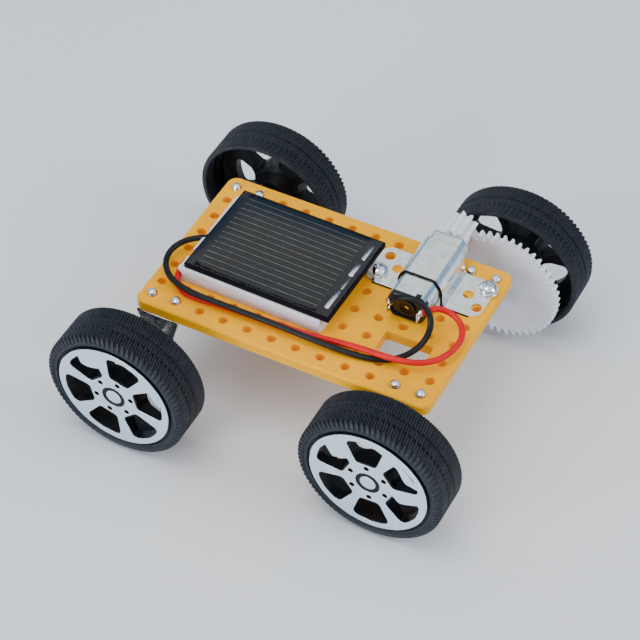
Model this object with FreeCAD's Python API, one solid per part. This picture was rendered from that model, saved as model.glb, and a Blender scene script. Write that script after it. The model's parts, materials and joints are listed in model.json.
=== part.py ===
"""Solar-powered toy car kit: a perforated deck on two wheelsets, a solar panel and a geared motor.

Millimetres. +X runs from the front axle to the driven rear axle, +Y to the gear side, +Z up.
The origin is on the floor under the centre of the deck.
"""
import FreeCAD, Part
import math
import os

Vector = FreeCAD.Vector

# ---------------------------------------------------------------- driving dimensions
# Deck
hole_pitch = 5.0            # between hole columns, along X
row_pitch = 4.85            # between the inner hole rows, along Y
edge_row_y = 15.75          # the outer hole row on each side
hole_columns = 12
inner_rows = 6
hole_radius = 0.875
hole_lead_in = 0.16         # the rounded-off mouth of each hole, wider and deeper by this much
deck_width = 37.2
deck_thickness = 2.2
deck_corner_radius = 2.0
deck_edge_radius = 0.5
window_size = (9.5, 5.0)    # the two slots beside and under the motor
window_x = 20.0
window_corner_radius = 0.5

# Wheels and axles
tyre_radius = 14.3
tyre_width = 8.2
deck_top = tyre_radius + 8.5
axle_x = 25.1
axle_radius = 1.0
axle_clearance = 0.06
front_wheel_y = (-34.35, 30.0)  # outer tread edge of the left and right front wheels
rear_wheel_y = (-31.2, 34.6)
tyre_bore_radius = 12.1     # of the tyre's outer lip, which grips the edge of the wheel's face
tyre_wall_radius = 13.3     # inside the thin wall of the tyre's tread
tyre_lip_depth = 1.2
rim_inner_radius = 12.6
rim_depth = 5.0
face_height = 0.35          # wheel face outside the outer tread edge
face_plate_thickness = 1.8
hub_depth = 8.0
# The flare from the spokes into the hub, as (radius, depth behind the face plate)
hub_flare = ((8.7, 0.0), (6.6, 0.45), (5.5, 1.15), (4.4, 2.05), (3.0, 3.9))
foil_radius = 11.57
foil_thickness = 0.15
hub_radius = 3.0
hub_cap_radius = 1.6
hub_ring_radius = 2.3
lug_circle_radius = 3.75
lug_radius = 0.45
spoke_windows = 6
spoke_window_radii = (5.1, 10.0)
spoke_window_half_angle = 21.0
spoke_window_corner = 0.9
wheel_turns = {"front_left": 12.0, "front_right": 6.0, "rear_left": 33.5, "rear_right": 32.5}

# Gears
gear_module = 0.5
gear_teeth = 48
pinion_teeth = 8
profile_shift = 0.3         # the pinion is cut fuller and the wheel leaner by this much
pressure_angle = 20.0
tooth_play = 0.06           # each tooth is this much thinner than its full width
gear_face_y = 21.9
gear_width = 1.6
gear_boss_radius = 3.0
gear_boss_length = 2.2
pinion_y = (18.5, 24.3)

# Motor
motor_diameter = 8.2
motor_height = 6.1          # across the can's two flats
motor_length = 17.4
can_wall = 0.4
can_side_radius = 0.7       # where a flat runs into a round side
can_end_radius = 0.7        # of the drawn end of the can
tab_width = 0.9             # of the end cap's tabs, which sit in notches in the can's rim
tab_length = 0.8
tab_turns = (-57.0, -28.0)  # where the tabs are, from +X downwards; two more are opposite
motor_shaft_radius = 0.5
bearing_radius = 1.3
bearing_clearance = 0.03
cap_thickness = 0.9
cap_plug_depth = 1.4
cap_edge_radius = 0.3
cap_rim_width = 0.6
cap_dish_depth = 0.35       # how far the cap's face is sunk inside its rim
commutator_radius = 1.0
armature_radius = 2.3
magnet_radii = (2.75, 3.65)
terminal_offset = 3.0

# Motor clamp
clamp_thickness = 0.45
clamp_y = (4.75, 14.45)
clamp_reach = 11.65         # from the motor's axis to a flange's free end
clamp_outer_hole = 10.0
clamp_inner_hole = 7.25
clamp_corner_radius = 2.2
clamp_bend_radius = 0.9     # where the strap runs out into a flange
clamp_hole_radius = 1.05

# Axle brackets
bracket_thickness = 0.6
bracket_length = 8.7
bracket_flange = 5.3
bracket_outer_y = 18.5
bracket_end_radius = 2.6

# Screws
shank_radius = 0.84
clamp_screw_head_radius = 1.75
clamp_screw_head_height = 1.35
washer_radius = 1.95
washer_thickness = 0.4
bracket_screw_head_radius = 1.6
bracket_screw_head_height = 1.1
bracket_screw_tip = 0.85    # how far a bracket screw stands out of the deck

# Solar panel and its foam tape
panel_size = (30.3, 22.0)
panel_centre = (-8.5, 0.75)
panel_turn = -1.15
panel_thickness = 1.0
foam_thickness = 3.2
foam_size = (30.0, 22.0)
foam_centre = (-9.8, 0.1)
epoxy_margin = 0.45
epoxy_height = 0.75
epoxy_edge_radius = 0.55
cell_strips = 4
cell_length = 25.6
cell_width = 5.05
cell_gap = 0.25
cell_thickness = 0.2
ribbon_x = 13.5             # from the panel's centre to the ribbons
ribbon_width = 0.75
ribbon_thickness = 0.12
ribbon_spans = ((5.0, 8.9), (0.2, 3.6), (-3.5, 0.0), (-8.6, -3.9))

# Wires: points of each route, measured from the centre of the deck's top surface
wire_radius = 0.575
groove_radius = 0.72        # of the grooves in the foam tape that let the wires through
groove_points = 5           # how many points of each route run through or beside the tape
panel_solder_radius = 0.95
terminal_solder_radius = 0.72
black_wire_points = [
    (-20.7, 1.5, 2.45),
    (-24.5, -0.6, 2.4),
    (-27.7, -2.7, 2.2),
    (-29.2, -5.9, 2.0),
    (-28.5, -9.4, 1.9),
    (-26.2, -12.0, 1.9),
    (-23.2, -13.4, 1.9),
    (-19.5, -14.0, 1.85),
    (-15.0, -13.9, 1.75),
    (-9.0, -13.8, 1.65),
    (-1.7, -13.8, 1.6),
    (4.9, -13.9, 1.4),
    (10.8, -13.5, 0.9),
    (15.6, -12.9, 0.65),
    (19.5, -11.5, 0.75),
    (21.9, -8.9, 1.0),
    (23.1, -6.0, 1.5),
    (23.5, -3.7, 3.1),
    (22.8, -2.2, 5.0),
    (21.2, -1.8, 6.9),
    (18.8, -2.1, 7.7),
    (16.3, -2.3, 7.0),
    (14.6, -1.9, 4.75),
]
red_wire_points = [
    (-22.2, -3.4, 2.3),
    (-24.1, -5.3, 2.15),
    (-25.2, -7.5, 1.8),
    (-25.3, -9.9, 1.3),
    (-24.4, -12.1, 0.85),
    (-22.4, -13.5, 0.6),
    (-19.9, -13.8, 0.6),
    (-16.4, -13.5, 0.6),
    (-11.4, -13.1, 0.6),
    (-5.2, -12.9, 0.6),
    (0.5, -12.7, 0.6),
    (5.6, -12.3, 0.65),
    (10.0, -11.9, 1.0),
    (14.6, -12.1, 1.75),
    (18.7, -12.3, 2.2),
    (22.3, -12.0, 2.3),
    (25.2, -10.9, 2.2),
    (27.6, -8.7, 2.1),
    (29.0, -5.4, 2.1),
    (29.1, -2.0, 2.2),
    (27.6, 0.6, 2.7),
    (25.2, 1.5, 3.4),
    (22.9, 0.8, 4.3),
    (21.9, -1.0, 4.9),
    (20.7, -2.0, 4.5),
]

# ---------------------------------------------------------------- derived places
deck_length = hole_columns * hole_pitch
deck_bottom = deck_top - deck_thickness
axle_z = tyre_radius
centre_distance = gear_module * (gear_teeth + pinion_teeth) / 2
motor_z = deck_top + motor_height / 2
motor_x = axle_x - math.sqrt(centre_distance ** 2 - (motor_z - axle_z) ** 2)
panel_bottom = deck_top + foam_thickness
panel_top = panel_bottom + panel_thickness
clamp_hole_offset = row_pitch / 2
clamp_middle_y = sum(clamp_y) / 2
clamp_hole_y = (1.5 * row_pitch, 2.5 * row_pitch)

parts = {}


# ---------------------------------------------------------------- shape helpers
def box(x_span, y_span, z_span):
    """A box between two values on each axis."""
    size = [abs(span[1] - span[0]) for span in (x_span, y_span, z_span)]
    corner = Vector(min(x_span), min(y_span), min(z_span))
    return Part.makeBox(size[0], size[1], size[2], corner)


def rod_y(radius, y_span, x=0.0, z=0.0):
    """A cylinder along Y."""
    start = Vector(x, min(y_span), z)
    return Part.makeCylinder(radius, abs(y_span[1] - y_span[0]), start, Vector(0, 1, 0))


def rod_z(radius, z_span, x=0.0, y=0.0):
    """A cylinder along Z."""
    start = Vector(x, y, min(z_span))
    return Part.makeCylinder(radius, abs(z_span[1] - z_span[0]), start, Vector(0, 0, 1))


def turned(profile):
    """Turn a closed outline of (radius, y) points about the Y axis."""
    points = [Vector(radius, y, 0) for radius, y in profile]
    face = Part.Face(Part.makePolygon(points + points[:1]))
    return face.revolve(Vector(0, 0, 0), Vector(0, 1, 0), 360)


def edges_along(shape, axis):
    """The straight edges of a shape that run along an axis."""
    found = []
    for edge in shape.Edges:
        if isinstance(edge.Curve, (Part.Line, Part.LineSegment)):
            direction = edge.tangentAt(edge.FirstParameter)
            if abs(abs(direction.dot(axis)) - 1) < 1e-6:
                found.append(edge)
    return found


def placed(shape, move=(0, 0, 0), turn=0.0, axis=Vector(0, 0, 1)):
    """A copy that is turned about an axis through the origin, then moved."""
    copy = shape.copy()
    copy.rotate(Vector(0, 0, 0), axis, turn)
    copy.translate(Vector(*move))
    return copy


def group(solids):
    """Several separate solids as one node."""
    return Part.makeCompound(solids)


# ---------------------------------------------------------------- deck
def hole_rows():
    """Y of every hole row."""
    rows = [(i - (inner_rows - 1) / 2) * row_pitch for i in range(inner_rows)]
    return [-edge_row_y] + rows + [edge_row_y]


def hole_columns_x():
    """X of every hole column."""
    return [(i - (hole_columns - 1) / 2) * hole_pitch for i in range(hole_columns)]


def make_deck():
    half_length = deck_length / 2
    half_width = deck_width / 2
    deck = box((-half_length, half_length), (-half_width, half_width), (deck_bottom, deck_top))
    deck = deck.makeFillet(deck_corner_radius, edges_along(deck, Vector(0, 0, 1)))
    rim = [edge for edge in deck.Edges if all(abs(v.Z - deck_top) < 1e-6 for v in edge.Vertexes)]
    deck = deck.makeFillet(deck_edge_radius, rim)
    window_y = 1.5 * row_pitch
    cutters = []
    for x in hole_columns_x():
        for y in hole_rows():
            beside_x = abs(x - window_x) < window_size[0] / 2
            if beside_x and abs(abs(y) - window_y) < window_size[1] / 2:
                continue
            cutters.append(rod_z(hole_radius, (deck_bottom - 1, deck_top + 1), x, y))
            cutters.append(hole_mouth(x, y))
    for side in (-1, 1):
        x_span = (window_x - window_size[0] / 2, window_x + window_size[0] / 2)
        y_middle = side * window_y
        y_span = (y_middle - window_size[1] / 2, y_middle + window_size[1] / 2)
        window = box(x_span, y_span, (deck_bottom - 1, deck_top + 1))
        cutters.append(window.makeFillet(window_corner_radius, edges_along(window, Vector(0, 0, 1))))
    return deck.cut(cutters)


def hole_mouth(x, y):
    """The cone that opens the top of a deck hole."""
    start = Vector(x, y, deck_top - hole_lead_in)
    end_radius = hole_radius + 2 * hole_lead_in
    return Part.makeCone(hole_radius, end_radius, 2 * hole_lead_in, start, Vector(0, 0, 1))


# ---------------------------------------------------------------- axle brackets
def make_bracket(x, side):
    """An L-shaped bracket: a flange under the deck and a tapered ear that holds the axle."""
    half = bracket_length / 2
    outer = side * bracket_outer_y
    inner = side * (bracket_outer_y - bracket_thickness)
    flange_y = (outer, side * (bracket_outer_y - bracket_flange))
    flange = box((x - half, x + half), flange_y, (deck_bottom - bracket_thickness, deck_bottom))
    top = deck_bottom - bracket_thickness
    outline = [
        Vector(x - half, inner, top),
        Vector(x + half, inner, top),
        Vector(x + bracket_end_radius, inner, axle_z),
        Vector(x - bracket_end_radius, inner, axle_z),
    ]
    face = Part.Face(Part.makePolygon(outline + outline[:1]))
    ear = face.extrude(Vector(0, outer - inner, 0))
    ear = ear.fuse(rod_y(bracket_end_radius, (inner, outer), x, axle_z))
    bracket = flange.fuse(ear).removeSplitter()
    bend = [
        edge for edge in bracket.Edges
        if abs(edge.Length - bracket_length) < 1e-6
        and all(abs(v.Y - outer) < 1e-6 and abs(v.Z - deck_bottom) < 1e-6 for v in edge.Vertexes)
    ]
    bracket = bracket.makeFillet(bracket_thickness * 0.8, bend)
    holes = [rod_y(axle_radius + axle_clearance, (outer - 1, outer + 1), x, axle_z)]
    for hole_x in (x_column(x, -1), x_column(x, 1)):
        holes.append(rod_z(1.0, (deck_bottom - 2, deck_bottom + 1), hole_x, side * edge_row_y))
    return bracket.cut(holes)


def x_column(x, side):
    """The hole column just before (-1) or after (+1) the axle at x."""
    middle = math.copysign((hole_columns / 2 - 1) * hole_pitch, x)
    return middle + side * hole_pitch / 2


def bracket_screw(x, y):
    """A pan-head screw that comes up through a bracket and the deck."""
    seat = deck_bottom - bracket_thickness
    head = rod_z(bracket_screw_head_radius, (seat - bracket_screw_head_height, seat), x, y)
    rim = [edge for edge in head.Edges if edge.Vertexes[0].Z < seat - 0.5 and len(edge.Vertexes) == 1]
    head = head.makeFillet(0.5, rim)
    shank = rod_z(shank_radius, (seat, deck_top + bracket_screw_tip), x, y)
    tip = [edge for edge in shank.Edges if edge.Vertexes[0].Z > deck_top and len(edge.Vertexes) == 1]
    shank = shank.makeFillet(0.3, tip)
    return head.fuse(shank).cut(cross_recess(x, y, seat - bracket_screw_head_height, 1))


def cross_recess(x, y, z, direction):
    """A cross-shaped screwdriver recess that starts at z and goes in along Z."""
    depth = (z - 0.5 * direction, z + 0.55 * direction)
    long_bar = box((x - 0.95, x + 0.95), (y - 0.2, y + 0.2), depth)
    cross_bar = box((x - 0.2, x + 0.2), (y - 0.95, y + 0.95), depth)
    return long_bar.fuse(cross_bar)


# ---------------------------------------------------------------- wheels
def spoke_window(y_span, grow=0.0):
    """One rounded opening between two spokes, centred on +X."""
    inner, outer = spoke_window_radii
    ring = rod_y(outer + grow, y_span).cut(rod_y(inner - grow, y_span))
    reach = 2 * outer
    half = math.radians(spoke_window_half_angle) + grow / outer
    wedge_points = [
        Vector(0, min(y_span), 0),
        Vector(reach * math.cos(half), min(y_span), reach * math.sin(half)),
        Vector(reach * math.cos(half), min(y_span), -reach * math.sin(half)),
    ]
    wedge = Part.Face(Part.makePolygon(wedge_points + wedge_points[:1]))
    wedge = wedge.extrude(Vector(0, max(y_span) - min(y_span), 0))
    opening = ring.common(wedge)
    return opening.makeFillet(spoke_window_corner, edges_along(opening, Vector(0, 1, 0)))


def around(shape, count):
    """Copies of a shape, evenly spaced about the Y axis."""
    return [placed(shape, turn=i * 360 / count, axis=Vector(0, 1, 0)) for i in range(count)]


def wheel_pieces():
    """Tyre, wheel and foil face of one wheel on the Y axis: +Y points away from the car."""
    shoulder = 0.8
    bead = 0.3
    tyre = turned([
        (tyre_bore_radius, bead),
        (tyre_bore_radius + 0.7, 0.55),
        (tyre_radius - shoulder, 0.4),
        (tyre_radius, -bead),
        (tyre_radius, -tyre_width + bead),
        (tyre_radius - bead, -tyre_width),
        (tyre_wall_radius + bead, -tyre_width),
        (tyre_wall_radius, -tyre_width + bead),
        (tyre_wall_radius, -tyre_lip_depth),
        (tyre_bore_radius, -tyre_lip_depth),
    ])
    plate_back = face_height - face_plate_thickness
    rim_step = foil_radius + 0.13
    flare = [(radius, plate_back - depth) for radius, depth in reversed(hub_flare)]
    wheel = turned([
        (axle_radius, -hub_depth),
        (hub_radius, -hub_depth),
    ] + flare + [
        (rim_inner_radius - 1.0, plate_back),
        (rim_inner_radius, plate_back - 1.0),
        (rim_inner_radius, -rim_depth),
        (tyre_wall_radius, -rim_depth),
        (tyre_wall_radius, -tyre_lip_depth),
        (tyre_bore_radius, -tyre_lip_depth),
        (tyre_bore_radius, 0.0),
        (rim_step, 0.0),
        (rim_step, face_height),
        (0, face_height),
        (0, -1.0),
        (axle_radius, -1.0),
    ])
    through = (-hub_depth, face_height + 0.5)
    lug = rod_y(lug_radius, (face_height - 0.5, face_height + 0.5), x=lug_circle_radius)
    wheel = wheel.cut(around(spoke_window(through, grow=0.08), spoke_windows))
    wheel = wheel.cut(around(lug, spoke_windows))
    foil_span = (face_height, face_height + foil_thickness)
    foil = rod_y(foil_radius, foil_span).cut(rod_y(hub_ring_radius, foil_span))
    foil = foil.cut(around(spoke_window(through), spoke_windows))
    foil = foil.cut(around(lug, spoke_windows))
    cap = rod_y(hub_cap_radius, foil_span)
    return {"tyre": tyre, "wheel": wheel, "wheel_face": group([foil, cap])}


def add_wheels():
    pieces = wheel_pieces()
    places = {
        "front_left": (-axle_x, front_wheel_y[0], -1),
        "front_right": (-axle_x, front_wheel_y[1], 1),
        "rear_left": (axle_x, rear_wheel_y[0], -1),
        "rear_right": (axle_x, rear_wheel_y[1], 1),
    }
    for name, (x, y, side) in places.items():
        for piece, shape in pieces.items():
            spun = placed(shape, turn=-side * wheel_turns[name], axis=Vector(0, 1, 0))
            facing = placed(spun, turn=0.0 if side > 0 else 180.0)
            parts[name + "_" + piece] = placed(facing, move=(x, y, axle_z))


def make_axle(x, wheel_y):
    left_end = wheel_y[0] + 1.0
    right_end = wheel_y[1] - 1.0
    axle = rod_y(axle_radius, (left_end, right_end), x, axle_z)
    return axle.makeChamfer(0.15, [edge for edge in axle.Edges if isinstance(edge.Curve, Part.Circle)])


# ---------------------------------------------------------------- gears
def involute(angle):
    return math.tan(angle) - angle


def gear_outline(teeth, shift, first_tooth_angle, y, x, z):
    """The closed outline of a spur gear in the XZ plane, with one tooth at the given angle."""
    pitch_radius = gear_module * teeth / 2
    base_radius = pitch_radius * math.cos(math.radians(pressure_angle))
    tip_radius = pitch_radius + gear_module * (1 + shift)
    root_radius = pitch_radius - gear_module * (1.25 - shift)
    alpha = math.radians(pressure_angle)
    thickness = gear_module * (math.pi / 2 + 2 * shift * math.tan(alpha)) - tooth_play
    half_at_pitch = thickness / (2 * pitch_radius)
    start_radius = max(base_radius, root_radius)

    def half_angle(radius):
        pressure = math.acos(min(1.0, base_radius / radius))
        return half_at_pitch + involute(alpha) - involute(pressure)

    def point(radius, angle):
        return Vector(x + radius * math.cos(angle), y, z + radius * math.sin(angle))

    steps = 4
    radii = [start_radius + (tip_radius - start_radius) * i / steps for i in range(steps + 1)]
    edges = []
    for tooth in range(teeth):
        middle = first_tooth_angle + 2 * math.pi * tooth / teeth
        following = middle + 2 * math.pi / teeth
        rising = [point(r, middle - half_angle(r)) for r in radii]
        falling = [point(r, middle + half_angle(r)) for r in reversed(radii)]
        root_half = half_angle(start_radius)
        root_start = point(root_radius, middle + root_half)
        root_end = point(root_radius, following - root_half)
        if start_radius > root_radius + 1e-6:
            edges.append(Part.LineSegment(point(root_radius, middle - root_half), rising[0]).toShape())
        edges.append(flank(rising))
        edges.append(Part.Arc(rising[-1], point(tip_radius, middle), falling[0]).toShape())
        edges.append(flank(falling))
        if start_radius > root_radius + 1e-6:
            edges.append(Part.LineSegment(falling[-1], root_start).toShape())
        root_middle = point(root_radius, middle + math.pi / teeth)
        edges.append(Part.Arc(root_start, root_middle, root_end).toShape())
    return Part.Wire(edges)


def flank(points):
    curve = Part.BSplineCurve()
    curve.interpolate(points)
    return curve.toShape()


def make_gears():
    """The big gear on the rear axle and the motor's pinion, in mesh."""
    line_angle = math.atan2(motor_z - axle_z, motor_x - axle_x)
    outline = gear_outline(gear_teeth, -profile_shift, line_angle, gear_face_y, axle_x, axle_z)
    gear = Part.Face(outline).extrude(Vector(0, gear_width, 0))
    boss_end = gear_face_y + gear_width + gear_boss_length
    gear = gear.fuse(rod_y(gear_boss_radius, (gear_face_y, boss_end), axle_x, axle_z))
    gear = gear.cut(rod_y(axle_radius, (gear_face_y - 1, boss_end + 1), axle_x, axle_z))
    gap_angle = line_angle + math.pi + math.pi / pinion_teeth
    outline = gear_outline(pinion_teeth, profile_shift, gap_angle, pinion_y[0], motor_x, motor_z)
    pinion = Part.Face(outline).extrude(Vector(0, pinion_y[1] - pinion_y[0], 0))
    bore = (pinion_y[0] - 1, pinion_y[1] + 1)
    pinion = pinion.cut(rod_y(motor_shaft_radius, bore, motor_x, motor_z))
    return gear, pinion


# ---------------------------------------------------------------- motor
def can_section(inset, y_span):
    """A round bar with two flats and rounded edges, set in from the can's surface."""
    half_height = motor_height / 2 - inset
    bar = rod_y(motor_diameter / 2 - inset, y_span, motor_x, motor_z)
    flats = box((motor_x - 6, motor_x + 6), y_span, (motor_z - half_height, motor_z + half_height))
    section = bar.common(flats)
    corners = [
        edge for edge in edges_along(section, Vector(0, 1, 0))
        if abs(abs(edge.Vertexes[0].Z - motor_z) - half_height) < 1e-6
    ]
    return section.makeFillet(max(can_side_radius - inset, 0.1), corners)


def motor_rod(radius, y_span, x_offset=0.0, z_offset=0.0):
    return rod_y(radius, y_span, motor_x + x_offset, motor_z + z_offset)


def cap_tabs():
    """The end cap's tabs, each as thick as the can's wall."""
    wall = can_section(0, (0, tab_length)).cut(can_section(can_wall, (-1, tab_length + 1)))
    block = box((2, motor_diameter), (0, tab_length), (-tab_width / 2, tab_width / 2))
    return [wall.common(about_motor(block, turn + flip)) for turn in tab_turns for flip in (0, 180)]


def make_motor_can():
    can = can_section(0, (0, motor_length))
    far_end = [e for e in can.Edges if all(abs(v.Y - motor_length) < 1e-6 for v in e.Vertexes)]
    can = can.makeFillet(can_end_radius, far_end).cut(cap_tabs())
    can = can.cut(can_section(can_wall, (-1, motor_length - can_wall)))
    collar_end = motor_length + 0.7
    can = can.fuse(motor_rod(bearing_radius + 0.5, (motor_length - can_wall, collar_end)))
    return can.cut(motor_rod(bearing_radius, (motor_length - can_wall - 1, collar_end + 1)))


def make_end_cap():
    """The plastic end: a dished plate outside the can, a plug inside it and four tabs."""
    inset = 0.15
    cap = can_section(inset, (-cap_thickness, 0))
    face_edges = [e for e in cap.Edges if all(abs(v.Y + cap_thickness) < 1e-6 for v in e.Vertexes)]
    cap = cap.makeFillet(cap_edge_radius, face_edges)
    dish = (-cap_thickness - 1, cap_dish_depth - cap_thickness)
    bearing_boss = motor_rod(bearing_radius + 0.55, dish)
    cap = cap.cut(can_section(inset + cap_rim_width, dish).cut(bearing_boss))
    cap = cap.fuse([can_section(can_wall, (0, cap_plug_depth))] + cap_tabs())
    cap = cap.cut(motor_rod(bearing_radius, (-cap_thickness - 1, cap_plug_depth + 1)))
    for side in (-1, 1):
        slot_x = motor_x + side * terminal_offset
        x_span = (slot_x - 0.2, slot_x + 0.2)
        z_span = (motor_z - 0.75, motor_z + 1.45)
        cap = cap.cut(box(x_span, (-cap_thickness - 1, cap_plug_depth + 1), z_span))
    return cap


def make_terminals():
    """Two tin-plated tabs that stand out of the end cap."""
    tabs = []
    for side in (-1, 1):
        x = motor_x + side * terminal_offset
        z_span = (motor_z - 0.7, motor_z + 1.4)
        tab = box((x - 0.12, x + 0.12), (-cap_thickness - 1.7, cap_plug_depth + 0.4), z_span)
        eye = Part.makeCylinder(0.35, 2, Vector(x - 1, -cap_thickness - 1.05, motor_z), Vector(1, 0, 0))
        tabs.append(tab.cut(eye))
    return group(tabs)


def make_brushes():
    """Two springy copper strips that run on the commutator."""
    strips = []
    for side in (-1, 1):
        near = motor_x + side * (commutator_radius + 0.08)
        root = motor_x + side * (terminal_offset - 0.15)
        y_span = (cap_plug_depth + 0.15, cap_plug_depth + 0.4)
        arm = box((near, root), y_span, (motor_z - 0.4, motor_z + 0.4))
        pad = box((near, near + side * 0.25), (y_span[1], y_span[1] + 1.6), (motor_z - 0.4, motor_z + 0.4))
        strips.append(arm.fuse(pad))
    return group(strips)


def make_magnets():
    """Two curved magnets on the can's round sides."""
    y_span = (5.2, 14.6)
    inner, outer = magnet_radii
    ring = motor_rod(outer, y_span).cut(motor_rod(inner, y_span))
    magnets = []
    for side in (-1, 1):
        x_span = (motor_x + side * 1.4, motor_x + side * 5)
        half = motor_height / 2 - can_wall - 0.1
        magnets.append(ring.common(box(x_span, y_span, (motor_z - half, motor_z + half))))
    return group(magnets)


def make_bearing(y_span):
    ring = motor_rod(bearing_radius, y_span)
    return ring.cut(motor_rod(motor_shaft_radius + bearing_clearance, (y_span[0] - 1, y_span[1] + 1)))


def make_armature():
    """The laminated core with three poles, and the copper wound on each pole."""
    y_span = (6.0, 13.6)
    bore = motor_rod(motor_shaft_radius, (y_span[0] - 3, y_span[1] + 3))
    core = motor_rod(1.0, y_span)
    shoe_ring = motor_rod(armature_radius, y_span).cut(motor_rod(armature_radius - 0.45, y_span))
    coils = []
    for i in range(3):
        neck = box((0.3, armature_radius - 0.2), y_span, (-0.45, 0.45))
        shoe = wedge_of(shoe_ring, 50, i * 120)
        core = core.fuse([about_motor(neck, i * 120), shoe])
        coil_y = (y_span[0] - 0.8, y_span[1] + 0.8)
        coil = box((1.05, armature_radius - 0.7), coil_y, (-0.85, 0.85))
        hollow = box((0.9, armature_radius), y_span, (-0.45, 0.45))
        coils.append(about_motor(coil.cut(hollow), i * 120))
    return core.cut(bore), group(coils)


def wedge_of(shape, half_angle, turn):
    """The part of a shape about the motor's axis that lies within an angle of a direction."""
    half = math.radians(half_angle)
    reach = 12
    points = [
        Vector(0, 0, 0),
        Vector(reach * math.cos(half), 0, reach * math.sin(half)),
        Vector(reach * math.cos(half), 0, -reach * math.sin(half)),
    ]
    wedge = Part.Face(Part.makePolygon(points + points[:1])).extrude(Vector(0, 30, 0))
    return shape.common(about_motor(wedge, turn))


def about_motor(shape, turn):
    """A shape drawn about the Y axis, turned and carried to the motor's axis."""
    return placed(shape, move=(motor_x, 0, motor_z), turn=turn, axis=Vector(0, 1, 0))


def make_commutator():
    y_span = (1.7, 4.4)
    barrel = motor_rod(commutator_radius, y_span)
    return barrel.cut(motor_rod(motor_shaft_radius, (0, 8)))


# ---------------------------------------------------------------- motor clamp
def make_clamp():
    """A strap over the motor with a flange on each side."""
    outer = can_section(-clamp_thickness, clamp_y)
    half = motor_diameter / 2 + clamp_thickness
    skirt = box((motor_x - half, motor_x + half), clamp_y, (deck_top, motor_z))
    strap = outer.fuse(skirt)
    past_ends = (clamp_y[0] - 1, clamp_y[1] + 1)
    hollow = can_section(0, past_ends)
    inner = motor_diameter / 2
    lower = box((motor_x - inner, motor_x + inner), past_ends, (deck_top - 2, motor_z))
    strap = strap.cut(hollow.fuse(lower))
    below = box((motor_x - 9, motor_x + 9), past_ends, (deck_top - 3, deck_top))
    strap = strap.cut(below)
    clamp = strap
    for side in (-1, 1):
        x_span = (motor_x + side * (inner + 0.1), motor_x + side * clamp_reach)
        flange = box(x_span, clamp_y, (deck_top, deck_top + clamp_thickness))
        corners = [
            edge for edge in edges_along(flange, Vector(0, 0, 1))
            if abs(edge.Vertexes[0].X - x_span[1]) < 1e-6
        ]
        clamp = clamp.fuse(flange.makeFillet(clamp_corner_radius, corners))
    clamp = clamp.removeSplitter()
    flange_top = deck_top + clamp_thickness
    roots = [
        edge for edge in edges_along(clamp, Vector(0, 1, 0))
        if all(abs(v.Z - flange_top) < 1e-6 for v in edge.Vertexes)
        and abs(abs(edge.Vertexes[0].X - motor_x) - half) < 1e-6
    ]
    return clamp.makeFillet(clamp_bend_radius, roots).cut(clamp_holes())


def clamp_holes():
    """Three holes in each flange: two near its free end and one near the motor."""
    z_span = (deck_top - 1, deck_top + 2)
    middle = sum(clamp_hole_y) / 2
    holes = []
    for side in (-1, 1):
        outer_x = 3.5 * hole_pitch + side * clamp_outer_hole
        for y in clamp_hole_y:
            holes.append(rod_z(clamp_hole_radius, z_span, outer_x, y))
        inner_x = 3.5 * hole_pitch + side * clamp_inner_hole
        holes.append(rod_z(clamp_hole_radius, z_span, inner_x, middle))
    return holes


def clamp_screw_places():
    left = (3.5 * hole_pitch - clamp_outer_hole, clamp_hole_y[0])
    right = (3.5 * hole_pitch + clamp_outer_hole, clamp_hole_y[1])
    return [left, right]


def make_clamp_washers():
    z_span = (deck_top + clamp_thickness, deck_top + clamp_thickness + washer_thickness)
    rings = []
    for x, y in clamp_screw_places():
        rings.append(rod_z(washer_radius, z_span, x, y).cut(rod_z(1.0, z_span, x, y)))
    return group(rings)


def make_clamp_screws():
    seat = deck_top + clamp_thickness + washer_thickness
    top = seat + clamp_screw_head_height
    screws = []
    for x, y in clamp_screw_places():
        head = rod_z(clamp_screw_head_radius, (seat, top), x, y)
        rim = [edge for edge in head.Edges if edge.Vertexes[0].Z > top - 0.1 and len(edge.Vertexes) == 1]
        head = head.makeFillet(0.75, rim).cut(cross_recess(x, y, top, -1))
        shank = rod_z(shank_radius, (deck_bottom - 1.2, seat), x, y)
        screws.append(head.fuse(shank))
    return group(screws)


# ---------------------------------------------------------------- solar panel
def on_panel(shape, centre=panel_centre):
    """A shape drawn about the panel's own centre, turned and carried to its place on the deck."""
    return placed(shape, move=(centre[0], centre[1], 0), turn=panel_turn)


def panel_block(size, z_span):
    return box((-size[0] / 2, size[0] / 2), (-size[1] / 2, size[1] / 2), z_span)


def cell_spans():
    """Y span of each cell strip about the panel's centre."""
    step = cell_width + cell_gap
    first = -(cell_strips - 1) / 2 * step
    middles = [first + i * step for i in range(cell_strips)]
    return [(middle - cell_width / 2, middle + cell_width / 2) for middle in middles]


def make_cells():
    x_span = (-cell_length / 2 - 0.6, cell_length / 2 - 0.6)
    z_span = (panel_top, panel_top + cell_thickness)
    return on_panel(group([box(x_span, y_span, z_span) for y_span in cell_spans()]))


def make_ribbons():
    x_span = (ribbon_x - ribbon_width / 2, ribbon_x + ribbon_width / 2)
    z_span = (panel_top, panel_top + ribbon_thickness)
    return on_panel(group([box(x_span, y_span, z_span) for y_span in ribbon_spans]))


def make_epoxy():
    """The clear cast cover, with the cells and ribbons set into its underside."""
    size = (panel_size[0] - 2 * epoxy_margin, panel_size[1] - 2 * epoxy_margin)
    slab = panel_block(size, (panel_top, panel_top + epoxy_height))
    slab = slab.makeFillet(1.2, edges_along(slab, Vector(0, 0, 1)))
    top = panel_top + epoxy_height
    rim = [edge for edge in slab.Edges if all(abs(v.Z - top) < 1e-6 for v in edge.Vertexes)]
    slab = slab.makeFillet(epoxy_edge_radius, rim)
    return on_panel(slab).cut([make_cells(), make_ribbons()])


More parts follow.
